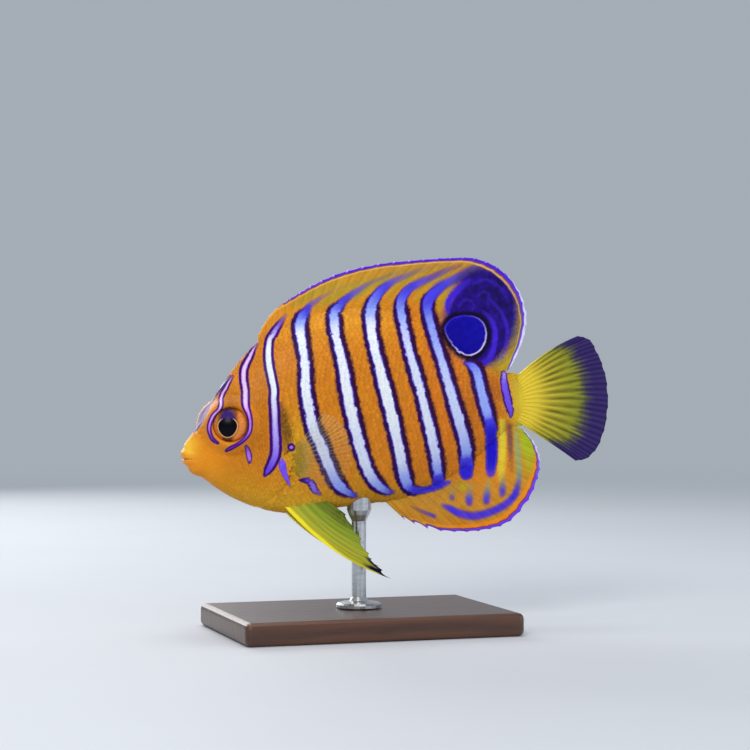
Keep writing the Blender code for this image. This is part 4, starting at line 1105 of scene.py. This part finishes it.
def makeTail():
    fin = fins["tail"]

    def bow(across):
        return np.stack((across * 0, across * 0, 0.65 + 0.35 * (1 - 2 * across)), -1)

    piece, _, across = makeFin("tailFin", alongMid(fin["root"]), alongMid(fin["tips"]), fin, bow, branch=0.8)
    corners = np.abs(2 * across - 1) ** 3
    # the dark band is a little wider at the lower corner
    addFloat(piece.data, "bandWide", 6.0 + 0.6 * corners + 1.4 * np.exp(-(((across - 0.97) / 0.1) ** 2)))
    addFloat(piece.data, "dashReach", 4.0 + 8.0 * corners)
    finishPiece(piece, tailMaterial(), ("tail_fin",))


print("tail")
makeTail()


def pectoralMaterial():
    made, shader, rays = finShader("pectoralFin", 0.3, 0.8, 0.5, 0.0, 5.0)
    line = rays["Line"]
    root = 1 - mask(read("rayOut"), 0.2, 0.2)
    colour = mix(root, mix(line, rgb(0.70, 0.66, 0.36), rgb(0.92, 0.88, 0.78)), rgb(0.74, 0.62, 0.16))
    upper = 1 - mask(read("rayAt"), 2.5, 5.5)
    cover = line * (upper * 0.14 + 0.05) + 0.03
    feed(shader, Base_Color=colour, Alpha=larger(cover, root * 0.5))
    return made


def makePectorals():
    material = pectoralMaterial()
    rootTop, rootLow = np.array(pectoral["rootTop"]), np.array(pectoral["rootLow"])
    swing, (bowBack, bowOut, _) = pectoral["swing"], pectoral["bow"]
    for name, side in sides:
        roots, tips = [], []
        for share, (back, up) in zip(np.linspace(0, 1, len(pectoral["tips"])), pectoral["tips"]):
            x, z = between(rootTop, rootLow, share)
            wide = flank(x, z)[0]
            roots.append((x, -side * (wide - 0.5), z))
            tips.append((x + back * math.cos(swing), -side * (wide + back * math.sin(swing)), z + up))

        def bow(across, side=side):
            return np.stack((across * 0 + bowBack, across * 0 - side * bowOut, across * 0), -1)

        piece, _, _ = makeFin(f"pectoral_{name}", roots, tips, pectoral, bow, branch=0.5)
        finishPiece(piece, material, (f"pectoral_fin_{name}",))


print("pectorals")
makePectorals()


def pelvicMaterial():
    made, shader, rays = finShader("pelvicFin", 0.4, 1.0, 0.3, 0.7, 1.2)
    place, out = coords(), read("rayOut")
    at = read("rayAt") + (noise(place, 260, 2.0) - 0.5) * 0.5
    # from the yellow leading ray back to the olive ones
    lead = 0.62 - mask(out, 0.2, 0.5) * 0.42
    colour = mix(mask(at, 0.12, lead), rgb(1.0, 0.93, 0.18), rgb(0.76, 0.74, 0.20))
    colour = mix(mask(at, 0.3, 1.1), colour, rgb(0.72, 0.73, 0.22))
    colour = mix(mask(at, 0.5, 2.2), colour, rgb(0.60, 0.67, 0.19))
    colour = mix(mask(at, 0.6, 3.4), colour, rgb(0.46, 0.52, 0.15))
    # darker between the rays behind the leading one: partly the membrane's own colour, partly painted shade
    # in the furrows
    colour = shade(1 - (1 - rays["Line"]) * mask(at, 0.4, 0.9), 0.72, colour)
    rear = mask(at, 0.9, 3.9) * mask(out, 0.25, 0.55)
    streak = mask(noise(place, 520, 3.0, 0.7), 0.12, 0.5)
    colour = mix(rear * streak * 0.75, colour, rgb(0.14, 0.14, 0.07))
    # the dark tip, and its point on the skin behind the leading ray
    lane = mask(at, 0.12, 0.3) * (1 - mask(at, 0.12, 0.95))
    tip = larger(mask(out, 0.07, 0.83) * lane, mask(out, 0.04, 0.93) * (1 - mask(at, 0.2, 1.6)))
    feed(shader, Base_Color=mix(tip, colour, rgb(0.04, 0.05, 0.20)))
    return made


def makePelvics():
    material = pelvicMaterial()
    bowBack, bowOut, bowUp = pelvic["bow"]
    pivotX, pivotZ, _ = pelvic["root"][0]
    for name, side in sides:
        cos, sin = math.cos(pelvic["lift"][name]), math.sin(pelvic["lift"][name])
        roots = [(x, -side * y, z) for x, z, y in pelvic["root"]]
        tips = []
        for x, z, y in pelvic["tips"]:
            dx, dz = x - pivotX, z - pivotZ
            tips.append((pivotX + dx * cos - dz * sin, -side * y, pivotZ + dx * sin + dz * cos))

        def bow(across, side=side):
            return np.stack((bowBack * (1 - across), across * 0 - side * bowOut, bowUp * (1 - across)), -1)

        piece, _, _ = makeFin(f"pelvic_{name}", roots, tips, pelvic, bow, branch=0.6)
        finishPiece(piece, material, (f"pelvic_fin_{name}",))


print("pelvics")
makePelvics()


# Eyes
iris = {
    "pupil": 2.0, "corner": 0.08, "offset": (-0.6, -0.65), "ring": 0.17, "around": 96, "rings": 71,
    "gold": rgb(0.88, 0.70, 0.46), "orange": rgb(0.97, 0.60, 0.28), "rust": rgb(0.84, 0.47, 0.20),
    "brown": rgb(0.22, 0.08, 0.05), "wedge": rgb(0.19, 0.11, 0.44), "rim": rgb(0.70, 0.44, 0.20),
    "black": rgb(0.01, 0.0, 0.05),
}


def eyeMaterial():
    made, shader = newMaterial("eyeBall")
    pupil = read("pupil")
    fibre = noise(read("spoke", "Vector"), 9.0, 3.0, 0.6)
    colour = mix(mask(fibre, 0.2, 0.5), iris["rust"], iris["orange"])
    colour = mix(mask(read("reach"), 0.35, 3.45), colour, iris["rim"])
    colour = mix((1 - mask(pupil, 0.4, 0.4)) * 0.5, colour, iris["brown"])
    colour = mix(read("under"), colour, iris["brown"])
    colour = mix(read("wedge"), colour, iris["wedge"])
    colour = mix((1 - mask(pupil, 0.06, iris["ring"])) * read("ringShow"), colour, iris["gold"])
    colour = mix(1 - mask(pupil, 0.06), colour, iris["black"])
    feed(shader, Base_Color=colour, Normal=bump(0.2, 0.0001, fibre), Roughness=0.3)
    feed(shader, Specular_IOR_Level=0.08, Coat_Weight=0.05, Coat_Roughness=0.05)
    return made


def makeEyes():
    material = eyeMaterial()
    for name, side in sides:
        centre, look, tailward, up = eyeFrame(side)
        piece, ball, _, _ = newBall(f"eye_ball_{name}", iris["around"], iris["rings"])
        x, y = ball[:, 0] * eye["radius"], ball[:, 1] * eye["radius"]
        front = ball[:, 2] > 0
        # the clear front swells a little over the pupil
        height = ball[:, 2] * eye["depth"] * (1 + 0.06 * np.exp(-(x**2 + y**2) / 4.5) * front)
        place = centre + tailward * x[:, None] + up * y[:, None] + look * (height - eye["sunk"])[:, None]
        shapePiece(piece, place)
        px, py = x - iris["offset"][0], y - iris["offset"][1]
        r, turn, beside = np.hypot(px, py), np.arctan2(py, px), np.abs(px)
        pupil = np.where(front, r - iris["pupil"] - iris["corner"] * np.cos(3 * (turn + np.pi / 2)), 3)
        # a dark wedge over the pupil, brown beside and under it, and the gold ring but for its top
        wedge = ease((2.55 - beside - 0.62 * (r - 2)) / 1.3) * ease(4.5 - r) * (py > 0)
        low = ease((1.5 - beside) / 0.8) * ease((3.5 - r) / 0.6) * (py < 0)
        under = np.maximum(low, ease((2.7 - beside) / 1.2) * ease(py - 0.4))
        fromTop = np.abs(np.angle(np.exp(1j * (turn - np.pi / 2))))
        fields = {
            "pupil": pupil, "reach": np.hypot(x, y), "ringShow": ease((fromTop - 0.45) / 0.4) * front,
            "wedge": 0.95 * wedge * front, "under": 0.8 * under * front,
        }
        for label, values in fields.items():
            addFloat(piece.data, label, values)
        spoke = np.stack((np.cos(turn) * 2, np.sin(turn) * 2, r * 0.12), -1)
        layer = piece.data.attributes.new("spoke", "FLOAT_VECTOR", "POINT")
        layer.data.foreach_set("vector", spoke.astype(np.float32).ravel())
        finishPiece(piece, material, (f"eye_{name}",))


print("eyes")
makeEyes()


# Cheek spines
cheekSpine = {
    "root": (-29.5, 38.6), "tip": (-27.3, 32.3), "lift": 1.0, "bow": 0.5, "flat": 0.75,
    "around": 20, "rings": 28,
    "radii": ((0.0, 0.3), (0.1, 0.68), (0.25, 0.88), (0.4, 0.8), (0.7, 0.5), (1.0, 0.08)),
}


def spineMaterial():
    made, shader = newMaterial("cheekSpine")
    grain = noise(coords(), 900, 3.0)
    colour = mix(mask(grain, 0.2, 0.5), rgb(0.38, 0.20, 0.92), rgb(0.48, 0.30, 1.0))
    feed(shader, Base_Color=colour, Normal=bump(0.3, 0.00006, grain), Roughness=0.35, Coat_Weight=0.3)
    return made


def makeCheekSpines():
    material = spineMaterial()
    root, tip = np.array(cheekSpine["root"]), np.array(cheekSpine["tip"])
    way = unit(np.array((tip[0] - root[0], 0, tip[1] - root[1])))
    over, out = np.cross(way, (0, 1.0, 0)), np.array((0, cheekSpine["flat"], 0))
    for name, side in sides:
        piece, ball, ring, turn = newBall(f"cheek_spine_{name}", cheekSpine["around"], cheekSpine["rings"])
        share = ring / (cheekSpine["rings"] + 1)
        pole = np.hypot(ball[:, 0], ball[:, 1]) > 1e-4
        radius = np.interp(share, *zip(*cheekSpine["radii"])) * pole
        x, z = between(root, tip, share[:, None]).T
        x = x - cheekSpine["bow"] * np.sin(share * np.pi)
        place = np.stack((x, -side * (flank(x, z) + cheekSpine["lift"] * share), z), -1)
        place += over * (np.cos(turn) * radius)[:, None] + out * (np.sin(turn) * radius)[:, None]
        shapePiece(piece, place)
        finishPiece(piece, material, ())


print("cheek spines")
makeCheekSpines()


# Scales
coat = {
    "trunk": {"pitch": 1.15, "row": 0.92}, "head": {"pitch": 0.66, "row": 0.55}, "long": 1.75, "wide": 1.5625,
    "thick": 0.05, "lift": 0.085, "dome": 0.05, "sink": 0.10, "root": 0.30, "vary": 0.06, "tiltVary": 0.12,
    "patch": 0.003,  # how wide a scale's place is on the map for baking
    "fin": {"pitch": 0.85, "long": 1.6, "wide": 1.5},
}


def scaleShape():
    # one scale, modelled once: rounded behind, domed across, thin
    piece, along, across, upper = newSheet("oneScale", 2, 4)
    faces = np.array([tuple(face.vertices) for face in piece.data.polygons])
    bpy.data.objects.remove(piece, do_unlink=True)
    across = across * 2 - 1
    rear = 1 - 0.34 * np.abs(across) ** 2.2
    narrow = 0.82 + 0.18 * np.sin(along * math.pi * 0.9)
    return along * rear, across * narrow, upper, 1 - across**2, faces


def rowTables():
    # arc length up and down each section from the belt, to lay rows of even height
    ats = np.linspace(0.5, lastSection - 0.15, 420)
    turns = np.linspace(-0.5, 0.5, 161) * math.pi
    grid = np.array([sectionPoint(np.full(len(turns), at), turns) for at in ats])
    arc = np.cumsum(np.linalg.norm(np.diff(grid, axis=1), axis=2), 1)
    arc = np.concatenate((np.zeros((len(ats), 1)), arc), 1)
    return ats, turns, arc - arc[:, [len(turns) // 2]]


def layRows(pitch, row, keep):
    # places (section, turn) of scale roots on the left flank, in staggered rows
    found = []
    reach = int(30 / row)
    for k in range(-reach, reach + 1):
        offset = (k + 0.5) * row
        index = np.flatnonzero((arc[:, 0] < offset) & (arc[:, -1] > offset))
        if len(index) < 4:
            continue
        turn = np.array([np.interp(offset, arc[i], turns) for i in index])
        steps = np.diff(sectionPoint(ats[index], turn), axis=0)
        run = np.concatenate(([0], np.cumsum(np.linalg.norm(steps, axis=1))))
        stops = np.arange((k % 2) * pitch / 2, run[-1], pitch)
        found.append(np.stack((np.interp(stops, run, ats[index]), np.interp(stops, run, turn)), -1))
    found = np.vstack(found)
    return found[keep(sectionPoint(*found.T))]


def gillAhead(place):
    near, gap, way, _ = nearLine(place[:, [0, 2]], gillPath, 60)
    ahead = np.zeros(len(place))
    ahead[near] = -way * gap
    return ahead


def keepTrunk(place):
    return (gillAhead(place) < -0.9) & (place[:, 0] < 26.8)


def keepHead(place):
    x, z = place[:, 0], place[:, 2]
    free = (x > -44.6 + 0.12 * np.abs(z - 40)) & (x - 0.9 * (z - 52) > -43.5)  # of the snout and the forehead
    return (gillAhead(place) > 0.5) & (fromEye(x, z) > 6.2) & free


def makeScales(name, side, here, way, over, normal, size, scale, mapped, plain, jitter):
    # lays a scale at each place: way runs along the body, over across the row, normal outward; size holds how
    # long and how wide each is, mapped its place on the map for baking, and plain ones lie flat
    along, across, upper, dome, faces = oneScale
    long, wide = size
    count, corners = len(here), len(along)
    tilt = 1 + coat["tiltVary"] * rng.standard_normal(count)
    forward = (along - coat["root"]) * long[:, None]
    sideways = across * 0.5 * wide[:, None]
    rise = coat["lift"] * (1 - 0.75 * plain[:, None]) * along * tilt[:, None] + coat["dome"] * dome * along
    high = (rise - coat["sink"] * (1 - along) ** 2) * scale + upper * coat["thick"] / 2
    steps = ((way, forward), (over, sideways), (normal, high))
    places = here[:, None] + sum(vector[:, None] * amount[..., None] for vector, amount in steps)
    places = places.reshape(-1, 3)
    allFaces = (faces[None] + (np.arange(count) * corners)[:, None, None]).reshape(-1, faces.shape[1])
    mesh = bpy.data.meshes.new(name)
    mesh.from_pydata((places * mm).tolist(), [], allFaces.tolist())
    mesh.update()
    piece = bpy.data.objects.new(name, mesh)
    bpy.context.scene.collection.objects.link(piece)
    paintMarks(mesh, places, np.repeat(rng.normal(0, jitter, (count, 2)), corners, axis=0))
    addFloat(mesh, "scaleShade", np.repeat(np.maximum(rng.random(count), plain), corners))
    # how far out along each scale, for the painted shade at its root; plain scales get none
    addFloat(mesh, "scaleOut", np.maximum(np.tile(along, count), np.repeat(plain, corners)))
    mapped = np.stack((mapped[0], mapped[1] + (0.52 if side < 0 else 0.02)), -1) * 0.98 + 0.01
    corner = (mapped[:, None] + np.stack((along - 0.5, across * 0.5), -1) * coat["patch"]).reshape(-1, 2)
    index = np.empty(len(mesh.loops), np.int32)
    mesh.loops.foreach_get("vertex_index", index)
    layer = mesh.uv_layers.new(name="OFBake")
    layer.data.foreach_set("uv", corner[index].astype(np.float32).ravel())
    finishPiece(piece, scaleMaterial, (), sharp=50)
    print(f"{name}: {count} scales, {len(allFaces) * 2} triangles")


def bodyScales(name, side, which, roots, jitter):
    pitch, row = coat[which]["pitch"], coat[which]["row"]
    at, rootTurn = roots.T
    turn = rootTurn if side > 0 else math.pi - rootTurn
    here = skinPoints(at, turn)
    way = unit(skinPoints(np.minimum(at + 0.02, lastSection), turn) - here)
    over = skinPoints(at, turn + 0.01 * side) - here
    over = unit(over - (over * way).sum(1)[:, None] * way)
    normal = np.cross(way, over)
    normal *= np.where(normal[:, 1] * -side > 0, 1.0, -1.0)[:, None]
    size = 1 + coat["vary"] * rng.standard_normal(len(at))
    small = np.clip((lastSection - at) / 3.0, 0.55, 1)
    plain = 1 - ease((here[:, 0] + 45) / 9) + ease((here[:, 0] - 22) / 4)
    long = pitch * coat["long"] * size * (0.5 + 0.5 * small)
    wide = row * coat["wide"] * size * (1 - 0.3 * plain)
    mapped = (at / lastSection, (rootTurn / math.pi + 0.5) * 0.46)
    scale, plain = pitch / coat["trunk"]["pitch"], np.clip(plain, 0, 1)
    makeScales(name, side, here, way, over, normal, (long, wide), scale, mapped, plain, jitter)


def finScales(name, side, which, step=0.004):
    # small scales in lines along the rays of the dorsal or anal fin
    fin, look = fins[which], coat["fin"]
    last = fin["rays"] - 1
    roots, tips = alongMid(fin["root"]), alongMid(fin["tips"])
    found = []
    for k, rayAt in enumerate(np.arange(0.6, last - 0.4, 0.5)):
        share = rayAt / last
        length = np.linalg.norm(alongLine(tips, share) - alongLine(roots, share))
        gap = look["pitch"] / length
        outs = np.arange(0.08 + gap / 2 * (k % 2), np.interp(share, *zip(*fin["scaled"])), gap)
        found.append(np.stack((np.full(len(outs), share), outs, np.full(len(outs), length)), -1))
    share, out, length = np.vstack(found).T
    here = finMiddle(roots, tips, share, out)
    way = unit(finMiddle(roots, tips, share, out + 0.01) - here)
    over = finMiddle(roots, tips, share + step, out) - here
    turned = np.sign(np.cross(over, way)[:, 1])
    over -= (over * way).sum(1)[:, None] * way
    spread = np.linalg.norm(over, axis=1) / step / last * 0.5
    normal = np.tile(np.array((0.0, -side, 0.0)), (len(here), 1))
    half, _ = finWalls(fin, share, out, length, 0)
    here = here + normal * (half - 0.02)[:, None]
    here[:, 1] += turned * finSway(fin, share * last, out)
    size = (1 - 0.35 * out / 0.6) * (1 + coat["vary"] * rng.standard_normal(len(out)))
    size = (look["pitch"] * look["long"] * size, spread * look["wide"] * size)
    plain = 0.4 + 0.6 * ease(out / 0.6)
    makeScales(name, side, here, way, unit(over), normal, size, 0.6, (share, out * 0.4), plain, 0.15)


print("scales")
ats, turns, arc = rowTables()
oneScale = scaleShape()
trunkRoots = layRows(coat["trunk"]["pitch"], coat["trunk"]["row"], keepTrunk)
headRoots = layRows(coat["head"]["pitch"], coat["head"]["row"], keepHead)
for sideName, side in sides:
    bodyScales(f"trunk_scales_{sideName}", side, "trunk", trunkRoots, 0.35)
    bodyScales(f"head_scales_{sideName}", side, "head", headRoots, 0.1)
    for which in margins:
        finScales(f"{which}_scales_{sideName}", side, which)


# Stand
def steelMaterial():
    made, shader = newMaterial("satinSteel")
    place = coords()
    brushed = noise(node("ShaderNodeMapping", Vector=place, Scale=(1, 1, 6)), 300, 2.0)
    colour = mix(mask(brushed, 0.3, 0.5), rgb(0.72, 0.73, 0.75), rgb(0.82, 0.83, 0.84))
    feed(shader, Base_Color=colour, Roughness=noise(place, 120, 3.0) * 0.2 + 0.18, Metallic=1.0)
    feed(shader, Normal=bump(0.2, 0.00004, brushed))
    return made


def woodMaterial():
    made, shader = newMaterial("darkWood")
    place = coords()
    grain = node("ShaderNodeMapping", Vector=place, Location=(0.02, 0.031, -0.012), Scale=(0.12, 1, 1))
    rings = {"wave_type": "RINGS", "rings_direction": "X"}
    wave = node(
        "ShaderNodeTexWave", rings, "Fac",
        Vector=grain, Scale=110.0, Distortion=5.0, Detail=3.0, Detail_Scale=2.0,
    )
    fine = noise(node("ShaderNodeMapping", Vector=place, Scale=(0.04, 1, 1)), 2600, 3.0, 0.7)
    colour = mix(wave, rgb(0.22, 0.12, 0.075), rgb(0.40, 0.235, 0.14))
    colour = mix(mask(fine, 0.1, 0.42) * 0.5, colour, rgb(0.34, 0.20, 0.12))
    colour = mix(noise(grain, 90, 3.0) * 0.4, colour, rgb(0.20, 0.10, 0.06))
    feed(shader, Base_Color=colour, Roughness=fine * 0.2 + 0.28, Normal=bump(0.25, 0.00008, fine))
    feed(shader, Coat_Weight=0.25, Coat_Roughness=0.2)
    return made


def dressStand():
    for label, material in (("stand_rod", steelMaterial()), ("stand_base", woodMaterial())):
        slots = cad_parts[label].data.materials
        slots.clear()
        slots.append(material)


print("stand")
dressStand()


# Studio
studio = {
    "floor": 6.0, "floorColour": rgb(0.80, 0.81, 0.83), "floorPale": rgb(0.83, 0.84, 0.86),
    "worldColour": rgb(0.80, 0.84, 0.88), "worldStrength": 0.62,
    "hazeFrom": 0.1, "hazeTo": 0.95,  # m from the stand, where the floor melts into the backdrop
}
lights = (
    # name, place, size, watts, colour
    ("key", (-0.32, -0.50, 0.45), 0.30, 2.25, (1.0, 0.98, 0.95)),
    ("fill", (0.45, -0.45, 0.20), 0.40, 0.6, (0.95, 0.97, 1.0)),
    ("top", (0.0, 0.05, 0.60), 0.35, 1.1, (1.0, 1.0, 1.0)),
    ("back", (-0.10, 0.50, 0.25), 0.40, 1.2, (1.0, 1.0, 1.0)),
)


def floorMaterial():
    made, shader = newMaterial("paleFloor")
    place = coords()
    colour = mix(noise(place, 14, 3.0), studio["floorColour"], studio["floorPale"])
    feed(shader, Base_Color=colour, Roughness=0.7)
    far = node("ShaderNodeVectorMath", {"operation": "LENGTH"}, "Value", i0=place)
    glow = node("ShaderNodeEmission", Color=studio["worldColour"], Strength=studio["worldStrength"])
    fade = node(
        "ShaderNodeMapRange", {"interpolation_type": "SMOOTHERSTEP"},
        Value=far, From_Min=studio["hazeFrom"], From_Max=studio["hazeTo"],
    )
    blend = node("ShaderNodeMixShader", i0=fade, i1=Value(shader.outputs["BSDF"]), i2=glow)
    feed(made.node_tree.nodes["Material Output"], Surface=blend)
    return made


def makeStudio():
    bpy.ops.mesh.primitive_circle_add(vertices=96, radius=studio["floor"], fill_type="NGON")
    floor = newPiece("floor")
    floor.data.materials.append(floorMaterial())
    world = bpy.data.worlds.new("studio")
    world.use_nodes = True
    feed(world.node_tree.nodes["Background"], Color=studio["worldColour"], Strength=studio["worldStrength"])
    bpy.context.scene.world = world
    aim = Vector(shot["aim"]) * mm
    for name, place, size, watts, colour in lights:
        data = bpy.data.lights.new(name, "AREA")
        data.shape, data.size, data.energy, data.color = "DISK", size, watts, colour
        lamp = bpy.data.objects.new(name, data)
        lamp.location = place
        lamp.rotation_euler = (aim - Vector(place)).to_track_quat("-Z", "Y").to_euler()
        bpy.context.scene.collection.objects.link(lamp)
    bpy.context.scene.view_settings.view_transform = "Standard"


print("studio")
makeStudio()
